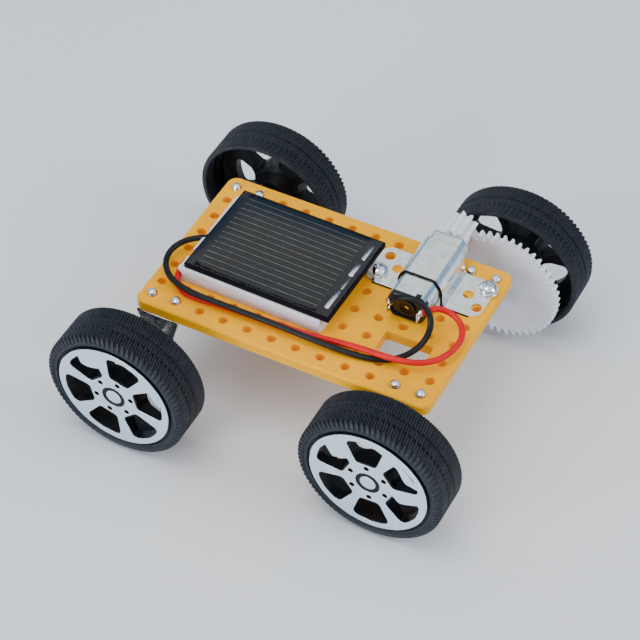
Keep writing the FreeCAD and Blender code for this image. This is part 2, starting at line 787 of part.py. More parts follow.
def make_foam():
    """The foam tape pad, with a groove for each wire and a pocket for its soldered end."""
    pad = on_panel(panel_block(foam_size, (deck_top, panel_bottom)), foam_centre)
    cutters = []
    for points in (black_wire_points, red_wire_points):
        groove = wire_tube(points[:groove_points], groove_radius)[0]
        cutters.append(groove)
        cutters.append(placed(groove, move=(0, 0, 0.6)))
        start = lifted(points[0])
        pocket_z = (start.z - panel_solder_radius, panel_bottom + 1)
        cutters.append(rod_z(panel_solder_radius + 0.15, pocket_z, start.x, start.y))
    return pad.cut(cutters)


def make_panel_solder():
    """Two soldered wire ends on the panel's back."""
    blobs = []
    for points in (black_wire_points, red_wire_points):
        start = lifted(points[0])
        blobs.append(rod_z(panel_solder_radius, (start.z - 0.7, panel_bottom), start.x, start.y))
    return group(blobs)


def make_terminal_solder():
    """A blob of solder where each wire meets its motor terminal."""
    blobs = []
    for points in (black_wire_points, red_wire_points):
        blobs.append(Part.makeSphere(terminal_solder_radius, lifted(points[-1])))
    return group(blobs)


# ---------------------------------------------------------------- wires
def lifted(point):
    """A point of a wire's route, given from the deck's top surface, in the car's frame."""
    return Vector(point[0], point[1], deck_top + point[2])


def wire_tube(points, radius):
    """A tube of straight runs joined by tangent arcs, with its length and the radius of each arc."""
    route = [lifted(p) for p in points]
    edges = []
    arc_radii = []
    here = route[0]
    for i in range(1, len(route) - 1):
        back = route[i - 1] - route[i]
        ahead = route[i + 1] - route[i]
        turn = math.pi - back.getAngle(ahead)
        shorter = min(back.Length, ahead.Length)
        arc_radius = 0.45 * shorter / math.tan(turn / 2)
        arc_radii.append(arc_radius)
        back.normalize()
        ahead.normalize()
        start = route[i] + back * 0.45 * shorter
        end = route[i] + ahead * 0.45 * shorter
        inward = back + ahead
        inward.normalize()
        to_centre = arc_radius / math.cos(turn / 2)
        middle = route[i] + inward * (to_centre - arc_radius)
        edges.append(Part.LineSegment(here, start).toShape())
        edges.append(Part.Arc(start, middle, end).toShape())
        here = end
    edges.append(Part.LineSegment(here, route[-1]).toShape())
    path = Part.Wire(edges)
    section = Part.Wire(Part.makeCircle(radius, route[0], route[1] - route[0]))
    tube = path.makePipeShell([section], True, True)
    return tube, path.Length, arc_radii


def make_wire(name, points):
    """One wire, with a printed comparison of its volume with section times length."""
    tube, length, arc_radii = wire_tube(points, wire_radius)
    expected = math.pi * wire_radius ** 2 * length
    print(name, "length %.1f" % length, "volume / (section x length) %.4f" % (tube.Volume / expected))
    print("   radii", ["%.1f" % r for r in arc_radii])
    return tube


# ---------------------------------------------------------------- assembly
parts["deck"] = make_deck()
for end, x in (("front", -axle_x), ("rear", axle_x)):
    for side_name, side in (("left", -1), ("right", 1)):
        parts[end + "_" + side_name + "_axle_bracket"] = make_bracket(x, side)
    places = [(x_column(x, step), side * edge_row_y) for step in (-1, 1) for side in (-1, 1)]
    parts[end + "_bracket_screws"] = group([bracket_screw(px, py) for px, py in places])

add_wheels()
parts["front_axle"] = make_axle(-axle_x, front_wheel_y)
parts["rear_axle"] = make_axle(axle_x, rear_wheel_y)
parts["drive_gear"], parts["motor_pinion"] = make_gears()

parts["motor_can"] = make_motor_can()
parts["motor_end_cap"] = make_end_cap()
parts["motor_terminals"] = make_terminals()
parts["motor_brushes"] = make_brushes()
parts["motor_magnets"] = make_magnets()
parts["motor_front_bearing"] = make_bearing((motor_length - can_wall, motor_length + 0.7))
parts["motor_rear_bearing"] = make_bearing((-cap_thickness + 0.1, cap_plug_depth - 0.3))
parts["motor_shaft"] = motor_rod(motor_shaft_radius, (-0.6, pinion_y[1] - 0.3))
parts["armature_core"], parts["armature_windings"] = make_armature()
parts["commutator"] = make_commutator()

parts["motor_clamp"] = make_clamp()
parts["clamp_washers"] = make_clamp_washers()
parts["clamp_screws"] = make_clamp_screws()

parts["foam_tape_pad"] = make_foam()
parts["panel_board"] = on_panel(panel_block(panel_size, (panel_bottom, panel_top)))
parts["solar_cells"] = make_cells()
parts["cell_ribbons"] = make_ribbons()
parts["panel_epoxy"] = make_epoxy()
parts["panel_solder"] = make_panel_solder()
parts["terminal_solder"] = make_terminal_solder()
parts["black_wire"] = make_wire("black_wire", black_wire_points)
parts["red_wire"] = make_wire("red_wire", red_wire_points)

os.makedirs("parts", exist_ok=True)
for node, shape in parts.items():
    shape.exportStep("parts/" + node + ".step")
    print(node, "valid" if shape.isValid() else "NOT VALID", "solids", len(shape.Solids),
          "volume %.2f" % shape.Volume)
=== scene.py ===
"""Looks of the solar-powered toy car kit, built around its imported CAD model.

Metres, in the car's frame: +X to the driven rear axle, +Y to the gear side, +Z up, floor at Z = 0.
Lengths named with _mm are in millimetres and are scaled by MM.
"""
import json
import math

import bmesh
import bpy
from mathutils import Matrix, Vector, geometry, noise


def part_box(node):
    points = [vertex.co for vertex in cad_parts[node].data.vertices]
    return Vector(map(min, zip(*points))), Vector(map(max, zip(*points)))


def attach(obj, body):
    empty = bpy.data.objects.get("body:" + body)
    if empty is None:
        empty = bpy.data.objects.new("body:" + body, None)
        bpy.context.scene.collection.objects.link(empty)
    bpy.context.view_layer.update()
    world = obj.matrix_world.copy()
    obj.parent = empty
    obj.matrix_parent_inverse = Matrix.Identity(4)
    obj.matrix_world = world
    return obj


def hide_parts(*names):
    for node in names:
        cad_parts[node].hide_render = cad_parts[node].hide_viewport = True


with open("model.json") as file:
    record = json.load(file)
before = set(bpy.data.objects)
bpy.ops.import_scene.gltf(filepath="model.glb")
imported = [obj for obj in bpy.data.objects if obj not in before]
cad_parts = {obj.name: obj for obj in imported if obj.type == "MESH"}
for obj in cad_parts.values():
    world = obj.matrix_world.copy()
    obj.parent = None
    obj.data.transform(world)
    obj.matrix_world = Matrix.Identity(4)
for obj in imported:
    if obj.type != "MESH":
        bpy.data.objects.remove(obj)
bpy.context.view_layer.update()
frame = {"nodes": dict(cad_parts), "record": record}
MM = 0.001
CHASSIS = "chassis"
WHEELS = {
    "front_left": "front_wheelset",
    "front_right": "front_wheelset",
    "rear_left": "rear_wheelset",
    "rear_right": "rear_wheelset",
}
DECK_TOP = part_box("deck")[1].z


def placed(name, data):
    """A new object in the scene."""
    thing = bpy.data.objects.new(name, data)
    bpy.context.scene.collection.objects.link(thing)
    return thing


# ---------------------------- camera and cords
CAMERA_PLACE_MM = (137.93, -247.92, 316.86)
CAMERA_AIM_MM = (3.27, -7.88, 22.8)
CAMERA_ROLL = math.radians(-1.806)
SENSOR_WIDTH_MM = 36.0
LENS_MM = 124.67


def add_camera():
    """The camera, aimed at the deck between panel and motor."""
    data = bpy.data.cameras.new("camera")
    data.sensor_width = SENSOR_WIDTH_MM
    data.lens = LENS_MM
    data.clip_start = 0.01
    camera = placed("camera", data)
    camera.location = Vector(CAMERA_PLACE_MM) * MM
    aim = Vector(CAMERA_AIM_MM) * MM
    facing = (aim - camera.location).to_track_quat("-Z", "Y").to_matrix()
    roll = Matrix.Rotation(CAMERA_ROLL, 3, "Z")
    camera.rotation_mode = "QUATERNION"
    camera.rotation_quaternion = (facing @ roll).to_quaternion()
    bpy.context.scene.camera = camera


# Wire routes in millimetres, with Z measured from the deck's top surface.
BLACK_ROUTE = [
    (-20.7, 1.5, 2.45),
    (-24.5, -0.6, 2.4),
    (-27.7, -2.7, 2.2),
    (-29.2, -5.9, 2.0),
    (-28.5, -9.4, 1.9),
    (-26.2, -12.0, 1.9),
    (-23.2, -13.4, 1.9),
    (-19.5, -14.0, 1.85),
    (-15.0, -13.9, 1.75),
    (-9.0, -13.8, 1.65),
    (-1.7, -13.8, 1.6),
    (4.9, -13.9, 1.4),
    (10.8, -13.5, 0.9),
    (15.6, -12.9, 0.65),
    (19.5, -11.5, 0.75),
    (21.9, -8.9, 1.0),
    (23.1, -6.0, 1.5),
    (23.5, -3.7, 3.1),
    (22.8, -2.2, 5.0),
    (21.2, -1.8, 6.9),
    (18.8, -2.1, 7.7),
    (16.3, -2.3, 7.0),
    (14.6, -1.9, 4.75),
]
RED_ROUTE = [
    (-22.2, -3.4, 2.3),
    (-24.1, -5.3, 2.15),
    (-25.2, -7.5, 1.8),
    (-25.3, -9.9, 1.3),
    (-24.4, -12.1, 0.85),
    (-22.4, -13.5, 0.6),
    (-19.9, -13.8, 0.6),
    (-16.4, -13.5, 0.6),
    (-11.4, -13.1, 0.6),
    (-5.2, -12.9, 0.6),
    (0.5, -12.7, 0.6),
    (5.6, -12.3, 0.65),
    (10.0, -11.9, 1.0),
    (14.6, -12.1, 1.75),
    (18.7, -12.3, 2.2),
    (22.3, -12.0, 2.3),
    (25.2, -10.9, 2.2),
    (27.6, -8.7, 2.1),
    (29.0, -5.4, 2.1),
    (29.1, -2.0, 2.2),
    (27.6, 0.6, 2.7),
    (25.2, 1.5, 3.4),
    (22.9, 0.8, 4.3),
    (21.9, -1.0, 4.9),
    (20.7, -2.0, 4.5),
]
WIRE_RADIUS_MM = 0.575


def on_deck(point_mm):
    """A route point in metres, in the car's frame."""
    return Vector((point_mm[0] * MM, point_mm[1] * MM, DECK_TOP + point_mm[2] * MM))


def add_wire(name, route, node, slot):
    """One soft wire as a smooth NURBS curve along its route."""
    data = bpy.data.curves.new(name, "CURVE")
    data.dimensions = "3D"
    data.bevel_depth = WIRE_RADIUS_MM * MM
    data.bevel_resolution = 6
    data.resolution_u = 10
    data.use_fill_caps = True
    spline = data.splines.new("NURBS")
    spline.points.add(len(route) - 1)
    for point, place in zip(spline.points, route):
        point.co = (*on_deck(place), 1.0)
    spline.order_u = 3
    spline.use_endpoint_u = True
    wire = placed(name, data)
    data.materials.append(MATERIALS[slot])
    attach(wire, CHASSIS)
    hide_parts(node)


# ---------------------------- materials
# The Mix node's colour sockets share their names with others, so they are found by number
MIX_FIRST_COLOR = 6
MIX_SECOND_COLOR = 7
MIX_RESULT_COLOR = 2
LEAST_ROUGHNESS = 0.02


class Look:
    """A procedural material: a Principled shader with noise in colour, roughness and relief."""

    def __init__(self, name, color, roughness, metallic=0.0, **values):
        self.material = bpy.data.materials.new(name)
        self.material.use_nodes = True
        self.tree = self.material.node_tree
        self.shader = self.tree.nodes["Principled BSDF"]
        self.color = (*color, 1.0)
        self.roughness = roughness
        self.shader.inputs["Base Color"].default_value = self.color
        self.shader.inputs["Roughness"].default_value = roughness
        self.shader.inputs["Metallic"].default_value = metallic
        for socket, value in values.items():
            self.shader.inputs[socket.replace("_", " ")].default_value = value
        self.place = self.add("ShaderNodeTexCoord").outputs["Object"]
        self.relief_below = None

    def add(self, kind, **settings):
        node = self.tree.nodes.new(kind)
        for setting, value in settings.items():
            setattr(node, setting, value)
        return node

    def feed(self, socket, value):
        """Links a socket to another, or sets its value."""
        if isinstance(value, bpy.types.NodeSocket):
            self.tree.links.new(value, socket)
        else:
            socket.default_value = value

    def stretched(self, scale, turn=(0.0, 0.0, 0.0)):
        """Object coordinates scaled per axis."""
        mapping = self.add("ShaderNodeMapping")
        self.feed(mapping.inputs["Vector"], self.place)
        self.feed(mapping.inputs["Scale"], scale)
        self.feed(mapping.inputs["Rotation"], turn)
        return mapping.outputs["Vector"]

    def noise(self, size_mm, detail=3.0, place=None):
        """Smooth noise whose blotches are about this many millimetres across."""
        node = self.add("ShaderNodeTexNoise")
        self.feed(node.inputs["Vector"], place or self.place)
        self.feed(node.inputs["Scale"], 1.0 / (size_mm * MM))
        self.feed(node.inputs["Detail"], detail)
        return node.outputs["Fac"]

    def cells(self, size_mm, output="Distance", place=None):
        """A pattern of cells about this many millimetres across."""
        node = self.add("ShaderNodeTexVoronoi")
        self.feed(node.inputs["Vector"], place or self.place)
        self.feed(node.inputs["Scale"], 1.0 / (size_mm * MM))
        return node.outputs[output]

    def ramp(self, factor, low, high, start=0.0, end=1.0):
        """A factor between start and end, spread from low to high."""
        node = self.add("ShaderNodeMapRange")
        self.feed(node.inputs["Value"], factor)
        self.feed(node.inputs["From Min"], start)
        self.feed(node.inputs["From Max"], end)
        self.feed(node.inputs["To Min"], low)
        self.feed(node.inputs["To Max"], high)
        return node.outputs["Result"]

    def blend(self, factor, first, second):
        """Mixes two colours by a factor."""
        node = self.add("ShaderNodeMix", data_type="RGBA")
        self.feed(node.inputs["Factor"], factor)
        self.feed(node.inputs[MIX_FIRST_COLOR], first)
        self.feed(node.inputs[MIX_SECOND_COLOR], second)
        return node.outputs[MIX_RESULT_COLOR]

    def compute(self, operation, first, second=0.0):
        """One step of arithmetic on two numbers."""
        node = self.add("ShaderNodeMath", operation=operation)
        self.feed(node.inputs[0], first)
        self.feed(node.inputs[1], second)
        return node.outputs["Value"]

    def vary_color(self, factor, other, start=0.35, end=0.65):
        """Moves the base colour towards another one where a factor is high."""
        amount = self.ramp(factor, 0.0, 1.0, start, end)
        current = self.shader.inputs["Base Color"]
        before = current.links[0].from_socket if current.links else self.color
        self.feed(current, self.blend(amount, before, (*other, 1.0)))

    def vary_roughness(self, factor, spread):
        """Spreads the roughness to either side of its value."""
        low = max(LEAST_ROUGHNESS, self.roughness - spread)
        amount = self.ramp(factor, low, self.roughness + spread, 0.3, 0.7)
        self.feed(self.shader.inputs["Roughness"], amount)

    def relief(self, height, depth_mm):
        """Adds a bump of about this depth on top of earlier ones."""
        bump = self.add("ShaderNodeBump")
        self.feed(bump.inputs["Height"], height)
        self.feed(bump.inputs["Distance"], depth_mm * MM)
        self.feed(bump.inputs["Strength"], 1.0)
        if self.relief_below:
            self.feed(bump.inputs["Normal"], self.relief_below)
        self.relief_below = bump.outputs["Normal"]
        self.feed(self.shader.inputs["Normal"], self.relief_below)

    def soften(self, reach_mm, per_channel):
        """How far light travels under the surface, and each colour's share of that."""
        self.shader.inputs["Subsurface Scale"].default_value = reach_mm * MM
        self.shader.inputs["Subsurface Radius"].default_value = per_channel


def deck_plastic():
    look = Look("deck plastic", (1.0, 0.435, 0.0), 0.36, Specular_IOR_Level=0.07)
    look.vary_color(look.noise(9.0), (1.0, 0.45, 0.0))
    look.vary_color(look.noise(1.1, 4.0), (0.97, 0.36, 0.0), 0.5, 0.9)
    look.vary_roughness(look.noise(2.5), 0.07)
    look.relief(look.noise(0.9, 2.0), 0.012)
    look.relief(look.noise(0.08, 2.0), 0.0015)
    return look.material


def rubber():
    look = Look("tyre rubber", (0.009, 0.012, 0.018), 0.5, Specular_IOR_Level=0.3)
    look.vary_color(look.noise(1.5, 5.0), (0.02, 0.022, 0.028))
    look.vary_roughness(look.noise(0.7, 4.0), 0.1)
    look.relief(look.noise(0.12, 4.0), 0.015)
    return look.material


def wheel_plastic():
    look = Look("black wheel plastic", (0.0025, 0.0028, 0.0035), 0.42, Specular_IOR_Level=0.18)
    look.vary_color(look.noise(2.0), (0.006, 0.006, 0.007))
    look.vary_roughness(look.noise(1.2, 4.0), 0.07)
    look.relief(look.noise(0.8, 3.0), 0.01)
    return look.material


def silver_foil():
    # Painted reflection: the base colour and its blotches are tinted light blue, for the blue surroundings
    # that the silver foil reflects
    look = Look("silver foil", (0.76, 0.88, 0.97), 0.2, 1.0)
    look.vary_color(look.noise(2.2, 4.0), (0.68, 0.82, 0.93))
    look.vary_roughness(look.noise(0.9, 5.0), 0.06)
    look.relief(look.noise(1.6, 3.0), 0.012)
    look.relief(look.noise(0.16, 3.0), 0.0025)
    return look.material


def plated_steel(name, color, roughness, blotch_mm, haze):
    """Bright plated sheet with a faint rolling grain along X and hazy blotches."""
    look = Look(name, color, roughness, 1.0)
    grain = look.stretched((0.15, 1.0, 1.0))
    look.vary_color(look.noise(blotch_mm, 4.0), haze)
    look.vary_roughness(look.noise(blotch_mm * 0.6, 5.0), 0.06)
    look.relief(look.noise(0.12, 3.0, grain), 0.0005)
    look.relief(look.noise(2.5, 2.0), 0.003)
    return look


# Width of the painted shade band along the clamp's front and back edges
PAINTED_SHADE_EDGE_MM = 0.04


def clamp_sheet():
    """The clamp's plated sheet, with painted shade: a near-black band along its front and back edges."""
    look = plated_steel("zinc plated clamp", (0.95, 0.97, 0.95), 0.24, 1.8, (0.8, 0.82, 0.8))
    low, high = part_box("motor_clamp")
    split = look.add("ShaderNodeSeparateXYZ")
    look.feed(split.inputs["Vector"], look.place)
    offset = look.compute("SUBTRACT", split.outputs["Y"], (low.y + high.y) / 2)
    reach = look.compute("ABSOLUTE", offset)
    in_painted_shade = look.compute("GREATER_THAN", reach, (high.y - low.y) / 2 - PAINTED_SHADE_EDGE_MM * MM)
    # Painted shade: the band at the front and back edges is made near black, for the shadow in the gap
    # beside the strap
    look.vary_color(in_painted_shade, (0.02, 0.018, 0.016), 0.0, 1.0)
    return look.material


def bright_screw():
    look = Look("bright screw", (0.86, 0.86, 0.87), 0.12, 1.0)
    look.vary_color(look.noise(0.5, 4.0), (0.6, 0.6, 0.62), 0.5, 0.8)
    look.vary_roughness(look.noise(0.4, 4.0), 0.07)
    look.relief(look.noise(0.2, 3.0), 0.008)
    return look.material


def nylon():
    look = Look("white nylon", (0.84, 0.84, 0.87), 0.38, Subsurface_Weight=0.35, IOR=1.53)
    look.soften(1.0, (1.0, 0.95, 0.9))
    look.vary_color(look.noise(5.0), (0.78, 0.78, 0.83))
    look.vary_roughness(look.noise(1.5, 4.0), 0.07)
    look.relief(look.noise(0.3, 3.0), 0.004)
    return look.material


def black_gloss():
    look = Look("black gloss plastic", (0.004, 0.004, 0.0045), 0.3, Specular_IOR_Level=0.4)
    look.vary_color(look.noise(0.8, 4.0), (0.012, 0.009, 0.008))
    look.vary_roughness(look.noise(0.5, 4.0), 0.1)
    look.relief(look.noise(0.5, 3.0), 0.015)
    return look.material


def solder():
    look = Look("solder", (0.8, 0.81, 0.83), 0.14, 1.0)
    look.vary_color(look.noise(0.35, 4.0), (0.42, 0.4, 0.38), 0.55, 0.75)
    look.vary_roughness(look.noise(0.3, 4.0), 0.1)
    look.relief(look.noise(0.25, 3.0), 0.02)
    return look.material


def silver_paste():
    """The dull printed silver of the fine lines on the cells."""
    look = Look("silver paste", (0.58, 0.6, 0.59), 0.6, Specular_IOR_Level=0.1)
    look.vary_color(look.noise(1.2, 4.0), (0.2, 0.2, 0.19))
    look.relief(look.noise(0.06, 2.0), 0.004)
    return look.material


def copper():
    look = Look("copper", (0.75, 0.32, 0.14), 0.25, 1.0)
    look.vary_color(look.noise(0.4, 4.0), (0.5, 0.2, 0.08))
    look.relief(look.noise(0.15, 2.0, look.stretched((1.0, 0.2, 1.0))), 0.01)
    return look.material


def sintered_bronze():
    look = Look("sintered bronze", (0.05, 0.034, 0.022), 0.5, 1.0)
    look.vary_color(look.noise(0.2, 5.0), (0.025, 0.018, 0.012))
    look.relief(look.cells(0.12), 0.006)
    return look.material


def dark_iron(name, color):
    look = Look(name, color, 0.5, 0.6)
    look.vary_color(look.noise(0.6, 5.0), tuple(0.6 * c for c in color))
    look.relief(look.noise(0.1, 3.0, look.stretched((0.2, 1.0, 0.2))), 0.006)
    return look.material


def foam_tape():
    look = Look("white foam", (0.8, 0.75, 0.7), 0.75, Subsurface_Weight=0.3)
    look.soften(0.8, (1.0, 0.8, 0.7))
    look.vary_color(look.noise(2.6, 5.0), (0.56, 0.53, 0.5), 0.5, 0.75)
    look.vary_color(look.cells(0.22), (0.8, 0.78, 0.76), 0.2, 0.6)
    look.relief(look.cells(0.2), 0.04)
    look.relief(look.noise(0.9, 4.0), 0.05)
    return look.material


def board():
    look = Look("black board", (0.004, 0.004, 0.008), 0.5, Specular_IOR_Level=0.03)
    look.vary_color(look.noise(0.35, 4.0), (0.018, 0.014, 0.022), 0.5, 0.75)
    look.vary_roughness(look.noise(0.4, 4.0), 0.12)
    weave = look.stretched((1.0, 1.0, 4.0))
    look.relief(look.noise(0.3, 3.0, weave), 0.02)
    return look.material


def silicon():
    look = Look("silicon cell", (0.004, 0.007, 0.012), 0.5, Specular_IOR_Level=0.0)
    flakes = look.cells(1.6, output="Color", place=look.stretched((0.6, 1.0, 1.0), (0.0, 0.0, 0.6)))
    tone = look.add("ShaderNodeRGBToBW")
    look.feed(tone.inputs["Color"], flakes)
    look.vary_color(tone.outputs["Val"], (0.009, 0.0105, 0.013), 0.2, 0.8)
    look.vary_color(look.noise(6.0), (0.012, 0.011, 0.009))
    look.relief(look.noise(0.1, 2.0), 0.002)
    return look.material


def clear_resin():
    look = Look("clear resin", (0.93, 0.95, 0.96), 0.05, Transmission_Weight=1.0, IOR=1.5)
    look.vary_roughness(look.noise(1.5, 3.0), 0.02)
    look.relief(look.noise(4.0, 2.0), 0.02)
    return look.material


def insulation(name, color, paler):
    look = Look(name, color, 0.42, Specular_IOR_Level=0.22)
    look.vary_color(look.noise(2.5, 4.0), paler)
    look.vary_roughness(look.noise(0.9, 4.0), 0.08)
    look.relief(look.noise(0.5, 3.0), 0.01)
    return look.material


BRACKET_SHEET = plated_steel("zinc plated sheet", (0.86, 0.87, 0.86), 0.22, 1.8, (0.74, 0.75, 0.74))
CAN_SHEET = plated_steel("nickel plated can", (0.88, 0.94, 0.91), 0.22, 2.4, (0.7, 0.77, 0.74))
GROUND_ROD = plated_steel("ground steel rod", (0.7, 0.7, 0.72), 0.25, 1.0, (0.55, 0.55, 0.57))
MATERIALS = {
    "deck_plastic": deck_plastic(),
    "bracket_steel": BRACKET_SHEET.material,
    "screw_steel": bright_screw(),
    "axle_steel": GROUND_ROD.material,
    "tyre": rubber(),
    "wheel_plastic": wheel_plastic(),
    "silver_foil": silver_foil(),
    "gear_nylon": nylon(),
    "can_steel": CAN_SHEET.material,
    "black_plastic": black_gloss(),
    "tinned_metal": solder(),
    "copper": copper(),
    "magnet": dark_iron("ferrite", (0.05, 0.05, 0.055)),
    "bearing_brass": sintered_bronze(),
    "core_iron": dark_iron("laminated iron", (0.3, 0.3, 0.32)),
    "foam": foam_tape(),
    "board": board(),
    "silicon": silicon(),
    "clear_epoxy": clear_resin(),
    "black_insulation": insulation("black insulation", (0.004, 0.004, 0.005), (0.009, 0.009, 0.011)),
    "red_insulation": insulation("red insulation", (0.6, 0.002, 0.006), (0.68, 0.005, 0.008)),
}


def dress_cad_nodes():
    """Gives every carried-over CAD node the procedural material of its slot."""
    special = {"motor_clamp": clamp_sheet()}
    for entry in frame["record"]["subparts"]:
        name = entry["node"]
        node = frame["nodes"][name]
        node.data.materials.clear()
        node.data.materials.append(special.get(name, MATERIALS[entry["material_slot"]]))


# ---------------------------- mesh helpers
def link_piece(name, mesh, slot, body, nodes=(), sharp_angle=40.0):
    """Puts a finished mesh into the scene as a piece that rides on a body and replaces CAD nodes."""
    mesh.shade_smooth()
    mesh.set_sharp_from_angle(angle=math.radians(sharp_angle))
    mesh.materials.clear()
    mesh.materials.append(MATERIALS[slot])
    piece = placed(name, mesh)
    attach(piece, body)
    if nodes:
        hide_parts(*nodes)
    return piece


def mesh_from(name, vertices, faces):
    """A mesh from vertices in metres and faces of vertex numbers."""
    mesh = bpy.data.meshes.new(name)
    mesh.from_pydata([tuple(v) for v in vertices], [], faces)
    mesh.update()
    return mesh


def ring_mesh(name, columns, rows, point):
    """A closed ring of columns x rows vertices, from a function of column and row."""
    vertices = [point(c, r) for c in range(columns) for r in range(rows)]
    faces = []
    for c in range(columns):
        following = (c + 1) % columns
        for r in range(rows):
            above = (r + 1) % rows
            here = c * rows
            there = following * rows
            faces.append((here + r, there + r, there + above, here + above))
    return mesh_from(name, vertices, faces)


def rounded_loop(corners, steps=6):
    """A closed outline from (x, y, radius) corners, with each corner rounded by an arc."""
    loop = []
    for i, (x, y, radius) in enumerate(corners):
        here = Vector((x, y))
        if radius == 0:
            loop.append(here)
            continue
        before = (Vector(corners[i - 1][:2]) - here).normalized()
        after = (Vector(corners[(i + 1) % len(corners)][:2]) - here).normalized()
        half = before.angle(after) / 2
        reach = radius / math.tan(half)
        centre = here + (before + after).normalized() * (radius / math.sin(half))
        start = here + before * reach - centre
        end = here + after * reach - centre
        for k in range(steps + 1):
            blend = start.slerp(end, k / steps)
            loop.append(centre + blend)
    return loop


def sheet_from_loops(name, loops, thickness_mm, edge_mm):
    """A flat sheet with holes, in its own XY plane, with softly rounded edges."""
    data = bpy.data.curves.new(name, "CURVE")
    data.dimensions = "2D"
    data.fill_mode = "BOTH"
    data.extrude = (thickness_mm / 2 - edge_mm) * MM
    data.bevel_depth = edge_mm * MM
    data.bevel_resolution = 1
    data.offset = -edge_mm * MM
    for loop in loops:
        spline = data.splines.new("POLY")
        spline.points.add(len(loop) - 1)
        for point, place in zip(spline.points, loop):
            point.co = (place.x * MM, place.y * MM, 0.0, 1.0)
        spline.use_cyclic_u = True
    holder = placed(name, data)
    mesh = mesh_of(holder)
    bpy.data.objects.remove(holder)
    bpy.data.curves.remove(data)
    return mesh


def mesh_of(holder):
    """The evaluated mesh of an object, with its modifiers applied."""
    bpy.context.view_layer.update()
    depsgraph = bpy.context.evaluated_depsgraph_get()
    return bpy.data.meshes.new_from_object(holder.evaluated_get(depsgraph))


def circle(radius, count, x=0.0, y=0.0, ragged=0.0, seed=0):
    """A round outline, whose edge wavers inwards by up to ragged, or outwards if that is negative."""
    loop = []
    for k in range(count):
        angle = 2 * math.pi * k / count
        wave = noise.noise(Vector((math.cos(angle) * 4, math.sin(angle) * 4, seed)))
        size = radius - ragged * max(0.0, wave)
        loop.append(Vector((x + size * math.cos(angle), y + size * math.sin(angle))))
    return loop


# ---------------------------- tyres
LUGS = 84                   # ribs round the tread
STEPS_PER_LUG = 12
TYRE_BULGE_MM = 0.55        # how far the tyre's side stands out past the tread's edge
# Rows of vertices across the tread, closer together at its grooves
TREAD_ROWS_MM = (
    0.5, 0.6, 0.85, 1.2, 1.7, 2.2, 2.48, 2.6, 2.72, 2.84, 2.98, 3.28, 3.42, 3.55, 3.7, 4.0, 4.45,
    4.58, 4.72, 4.86, 5.0, 5.3, 5.42, 5.54, 5.66, 5.8, 6.3, 6.8, 7.3, 7.75,
)
# (radius, distance outwards from the outer tread edge) round the tyre's section
TYRE_SECTION_MM = [
    (12.1, -1.15), (12.1, -0.4), (12.12, 0.12), (12.2, 0.24), (12.32, 0.26), (12.45, 0.2), (12.6, 0.18),
    (12.78, 0.2), (12.9, 0.33), (13.02, 0.48), (13.16, 0.54), (13.32, 0.51), (13.5, 0.42), (13.7, 0.3),
    (13.9, 0.16), (14.08, 0.02), (14.2, -0.12), (14.27, -0.28),
    *((14.3, -inwards) for inwards in TREAD_ROWS_MM),
    (14.27, -7.95), (14.18, -8.1), (14.02, -8.18), (13.8, -8.2), (13.55, -8.19), (13.38, -8.08),
    (13.31, -7.85), (13.3, -7.4), (13.3, -6.4), (13.3, -5.1), (13.3, -1.2), (12.7, -1.2),
]
TREAD_WIDTH_MM = 8.2
# Grooves round the tread: place across it, half width, depth, and the share cut between the dots
GROOVES_MM = ((-2.72, 0.26, 0.75, 0.0), (-4.72, 0.2, 0.7, 0.6))
BAND_PHASES = (0.0, 0.5, 0.25)      # how far each band's ribs are turned, in lugs
RIB_SLANT = 0.16                    # lugs that a rib turns by for each millimetre across
RIB_CUT_MM = 0.3
FINE_CUT_MM = 0.25                  # of the shallower cut halfway between two ribs
SHOULDER_START_MM = -0.55
SHOULDER_SLANT = 0.6
SHOULDER_CUT_MM = 0.42
CUT_START_RADIUS_MM = 13.1
CUT_FADE_MM = 0.45
NOTCH_SLOPE = 0.45                  # share of a notch's half width that its slope takes up
# Half widths of the cuts, in lugs
RIB_HALF = 0.15
FINE_HALF = 0.13
SHOULDER_HALF = 0.24
DOT_HALF = 0.27
DOT_PHASE = 0.1


def notch(value, centre, half_width):
    """1 at the centre of a notch, falling to 0 at its sides, on a scale that repeats every 1."""
    gap = abs((value - centre + 0.5) % 1.0 - 0.5)
    slope = half_width * NOTCH_SLOPE
    return max(0.0, min(1.0, (half_width - gap) / slope))


def tread_depth(turn, across, radius, side):
    """How deep the tread is cut, in millimetres, at a turn counted in lugs."""
    fade = max(0.0, min(1.0, (radius - CUT_START_RADIUS_MM) / CUT_FADE_MM))
    if across > SHOULDER_START_MM:
        phase = turn + SHOULDER_SLANT * (across - SHOULDER_START_MM)
        return SHOULDER_CUT_MM * notch(phase, 0.0, SHOULDER_HALF) * fade
    # The pattern is placed from one marked side: outboard on the left wheels, inboard on the right
    from_mark = across if side < 0 else -TREAD_WIDTH_MM - across
    band = sum(from_mark < groove[0] for groove in GROOVES_MM)
    phase = turn + BAND_PHASES[band] + RIB_SLANT * across
    ribs = RIB_CUT_MM * notch(phase, 0.0, RIB_HALF)
    depth = max(ribs, FINE_CUT_MM * notch(phase, 0.5, FINE_HALF)) * fade
    for centre, half_width, full, between in GROOVES_MM:
        near = max(0.0, 1.0 - abs(from_mark - centre) / half_width)
        dash = between + (1 - between) * notch(turn + RIB_SLANT * across, DOT_PHASE, DOT_HALF)
        depth = max(depth, full * min(1.0, near * 1.6) * dash)
    return depth


